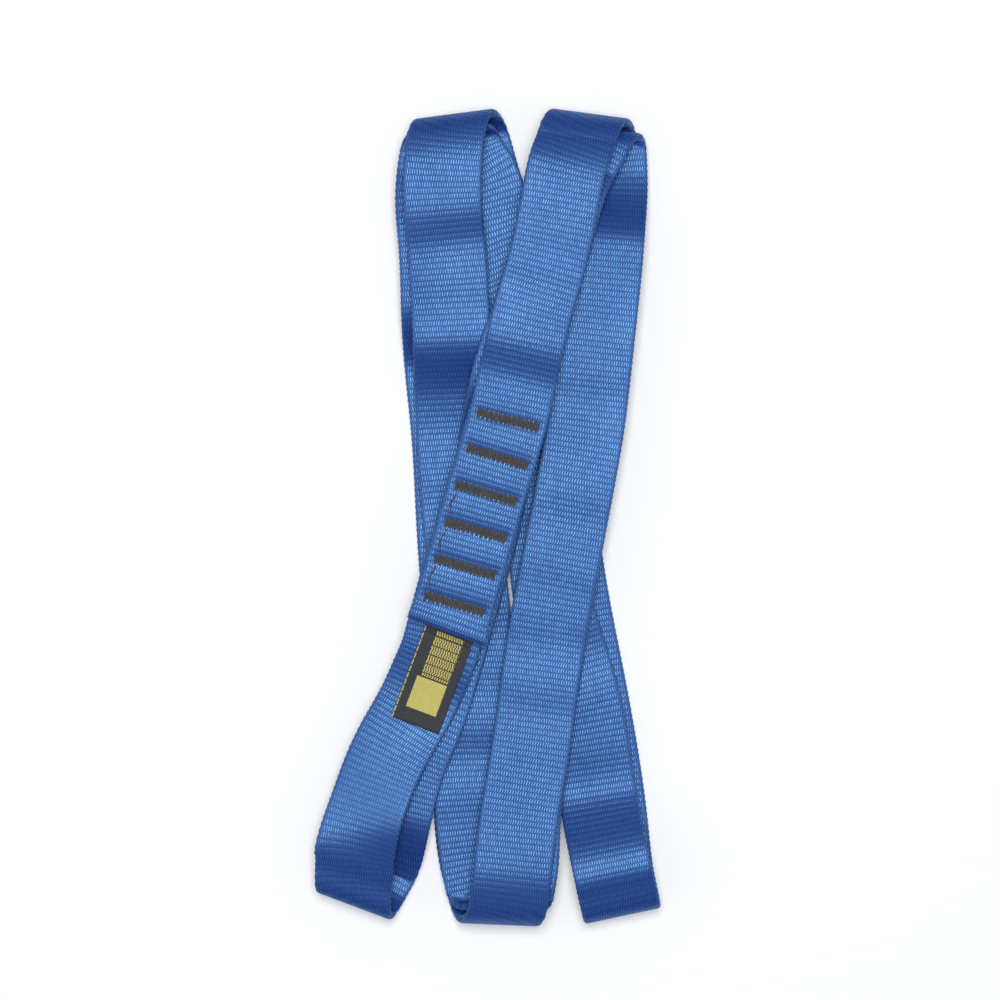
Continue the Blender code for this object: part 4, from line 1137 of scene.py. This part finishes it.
def tapeMaterial():
    material, tree, surface = newMaterial("woven_label_tape", {"Roughness": 0.55, "Sheen Weight": 0.1})
    calc = mathsIn(tree)

    def within(value, low, high):
        return calc("MULTIPLY", calc("GREATER_THAN", value, low), calc("LESS_THAN", value, high))

    def dashed(value, pitch, gap):
        return calc("GREATER_THAN", calc("FRACT", calc("DIVIDE", value, pitch)), gap)

    def boxed(left, right, top, bottom):
        return calc("MULTIPLY", within(u, left, right), within(fromRoot, top, bottom))

    cloth = clothUv(tree)
    u, v = apartIn(tree, cloth)
    height, each, _ = floatsIn(tree, cloth, tape["threadPitch"], tape["pickPitch"], 0.0, 0.0)
    # distance from the root on either leaf: half the path less the way from its middle
    half = tape["pathLength"] / 2
    fromRoot = calc("SUBTRACT", half, calc("ABSOLUTE", calc("SUBTRACT", v, half)))
    # stripes along the label that sway with the distance from the root, broken by a fine cross line
    sway = calc("SINE", calc("MULTIPLY", fromRoot, 2 * math.pi / tape["swayPitch"]))
    swayed = calc("ADD", u, calc("MULTIPLY", sway, tape["sway"]))
    stripes = dashed(swayed, tape["stripePitch"], tape["stripeGap"])
    cross = dashed(fromRoot, tape["crossPitch"], tape["crossGap"])
    waves = calc("MULTIPLY", calc("MULTIPLY", stripes, boxed(*tape["wave"])), cross)
    edgeLine = calc("LESS_THAN", u, -label["width"] / 2 + tape["edgeLine"])
    edgeLine = calc("MULTIPLY", edgeLine, dashed(fromRoot, tape["dashPitch"], tape["dashGap"]))
    figure = calc("MAXIMUM", calc("MAXIMUM", waves, boxed(*tape["block"])), edgeLine)
    # painted shade in the gaps between threads, with random tone from each float in the yellow
    ground = mixColour(tree, height, tape["warpShade"], tape["warp"])
    fade = calc("MULTIPLY_ADD", height, *tape["heightShades"])
    fade = calc("MULTIPLY_ADD", each, tape["eachFades"], fade, clamp=True)
    gold = mixColour(tree, fade, tape["yellow"], tape["yellowShade"])
    tree.links.new(mixColour(tree, figure, ground, gold), surface.inputs["Base Color"])
    bump(tree, calc("MULTIPLY_ADD", figure, tape["figureStands"], height), tape["bump"], surface)
    return material


labelTape = tapeMaterial()
for piece in (flapPiece, tailPiece):
    piece.data.materials.append(labelTape)
print("label folded")

# the stage, lamps and camera
stage = {
    "photoScale": 0.2429 * mm,      # the floor's size of one pixel of the photograph
    "frame": 1000,
    "cameraHeight": 1.0,
    "aim": (2.93 * mm, 4.22 * mm),
    "sensor": 36.0,
    "clip": (0.01, 20.0),
    "floorSize": 6.0,
    "floorDrop": 0.02 * mm,
    "floor": (0.95, 0.95, 0.95, 1.0),
    "glow": 0.12,                   # what the floor adds for the camera, so that it reads white
    "world": 0.24,
    "sky": (0.86, 0.92, 1.0, 1.0),
}
lamps = {   # place, width, length, power, colour
    "overhead": ((0.0, 0.16, 1.5), 0.6, 0.9, 17.5, (1.0, 1.0, 1.0)),
    "left_fill": ((-1.3, -0.3, 0.9), 0.8, 0.8, 1.2, (0.95, 0.97, 1.0)),
}


def makeFloor():
    bpy.ops.mesh.primitive_plane_add(size=stage["floorSize"], location=(0.0, 0.0, -stage["floorDrop"]))
    floor = bpy.context.object
    floor.name = "floor"
    material, tree, surface = newMaterial("white_floor", {
        "Base Color": stage["floor"], "Roughness": 0.9, "Specular IOR Level": 0.1,
        "Emission Color": (1.0, 1.0, 1.0, 1.0)})
    seen = tree.nodes.new("ShaderNodeLightPath").outputs["Is Camera Ray"]
    tree.links.new(mathsIn(tree)("MULTIPLY", seen, stage["glow"]), surface.inputs["Emission Strength"])
    floor.data.materials.append(material)


def makeLamp(name, place, width, length, power, colour):
    data = bpy.data.lights.new(name, "AREA")
    data.shape, data.size, data.size_y, data.energy, data.color = "RECTANGLE", width, length, power, colour
    lamp = bpy.data.objects.new(name, data)
    lamp.location = place
    lamp.rotation_euler = (-Vector(place)).to_track_quat("-Z", "Y").to_euler()
    bpy.context.scene.collection.objects.link(lamp)


def makeCamera():
    data = bpy.data.cameras.new("camera")
    data.sensor_fit = "HORIZONTAL"
    data.sensor_width = stage["sensor"]
    data.lens = stage["sensor"] * stage["cameraHeight"] / (stage["photoScale"] * stage["frame"])
    data.clip_start, data.clip_end = stage["clip"]
    camera = bpy.data.objects.new("camera", data)
    camera.location = (*stage["aim"], stage["cameraHeight"])
    bpy.context.scene.collection.objects.link(camera)
    bpy.context.scene.camera = camera


def makeWorld():
    world = bpy.data.worlds.new("studio")
    bpy.context.scene.world = world
    world.use_nodes = True
    background = world.node_tree.nodes["Background"]
    background.inputs["Color"].default_value = stage["sky"]
    background.inputs["Strength"].default_value = stage["world"]


makeFloor()
for name, settings in lamps.items():
    makeLamp(name, *settings)
makeCamera()
makeWorld()
bpy.context.scene.view_settings.view_transform = "Standard"
print("stage set")

# how the pieces ride
bodyOf = {node: body for body, nodes in frame["record"]["behaviour"]["bodies"].items() for node in nodes}
for node, piece in strapPieces.items():
    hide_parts(node)
    joint = joints.get("_".join(node.split("_")[:2]) + "_fold")
    if joint is None:
        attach(piece, bodyOf[node])
        continue
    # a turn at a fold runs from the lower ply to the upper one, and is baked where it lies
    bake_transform(piece)

stitched = {f"bartack_{number + 1}": piece for number, piece in enumerate(bartacks)}
stitched.update({f"jump_thread_{number}": piece for number, piece in jumps.items()})
for node, piece in stitched.items():
    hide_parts(node)
    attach(piece, "leg_1")

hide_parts("label_flap")
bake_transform(flapPiece)
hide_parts("label_tail")
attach(tailPiece, "leg_1")

# every ply is a stretch of the one folded strap
names = [node for node, _ in chain]
for place, node in enumerate(names):
    if node in turns:
        continue
    first, last = stretches[node]
print("pieces ride:", len(strapPieces) + len(stitched) + 2)
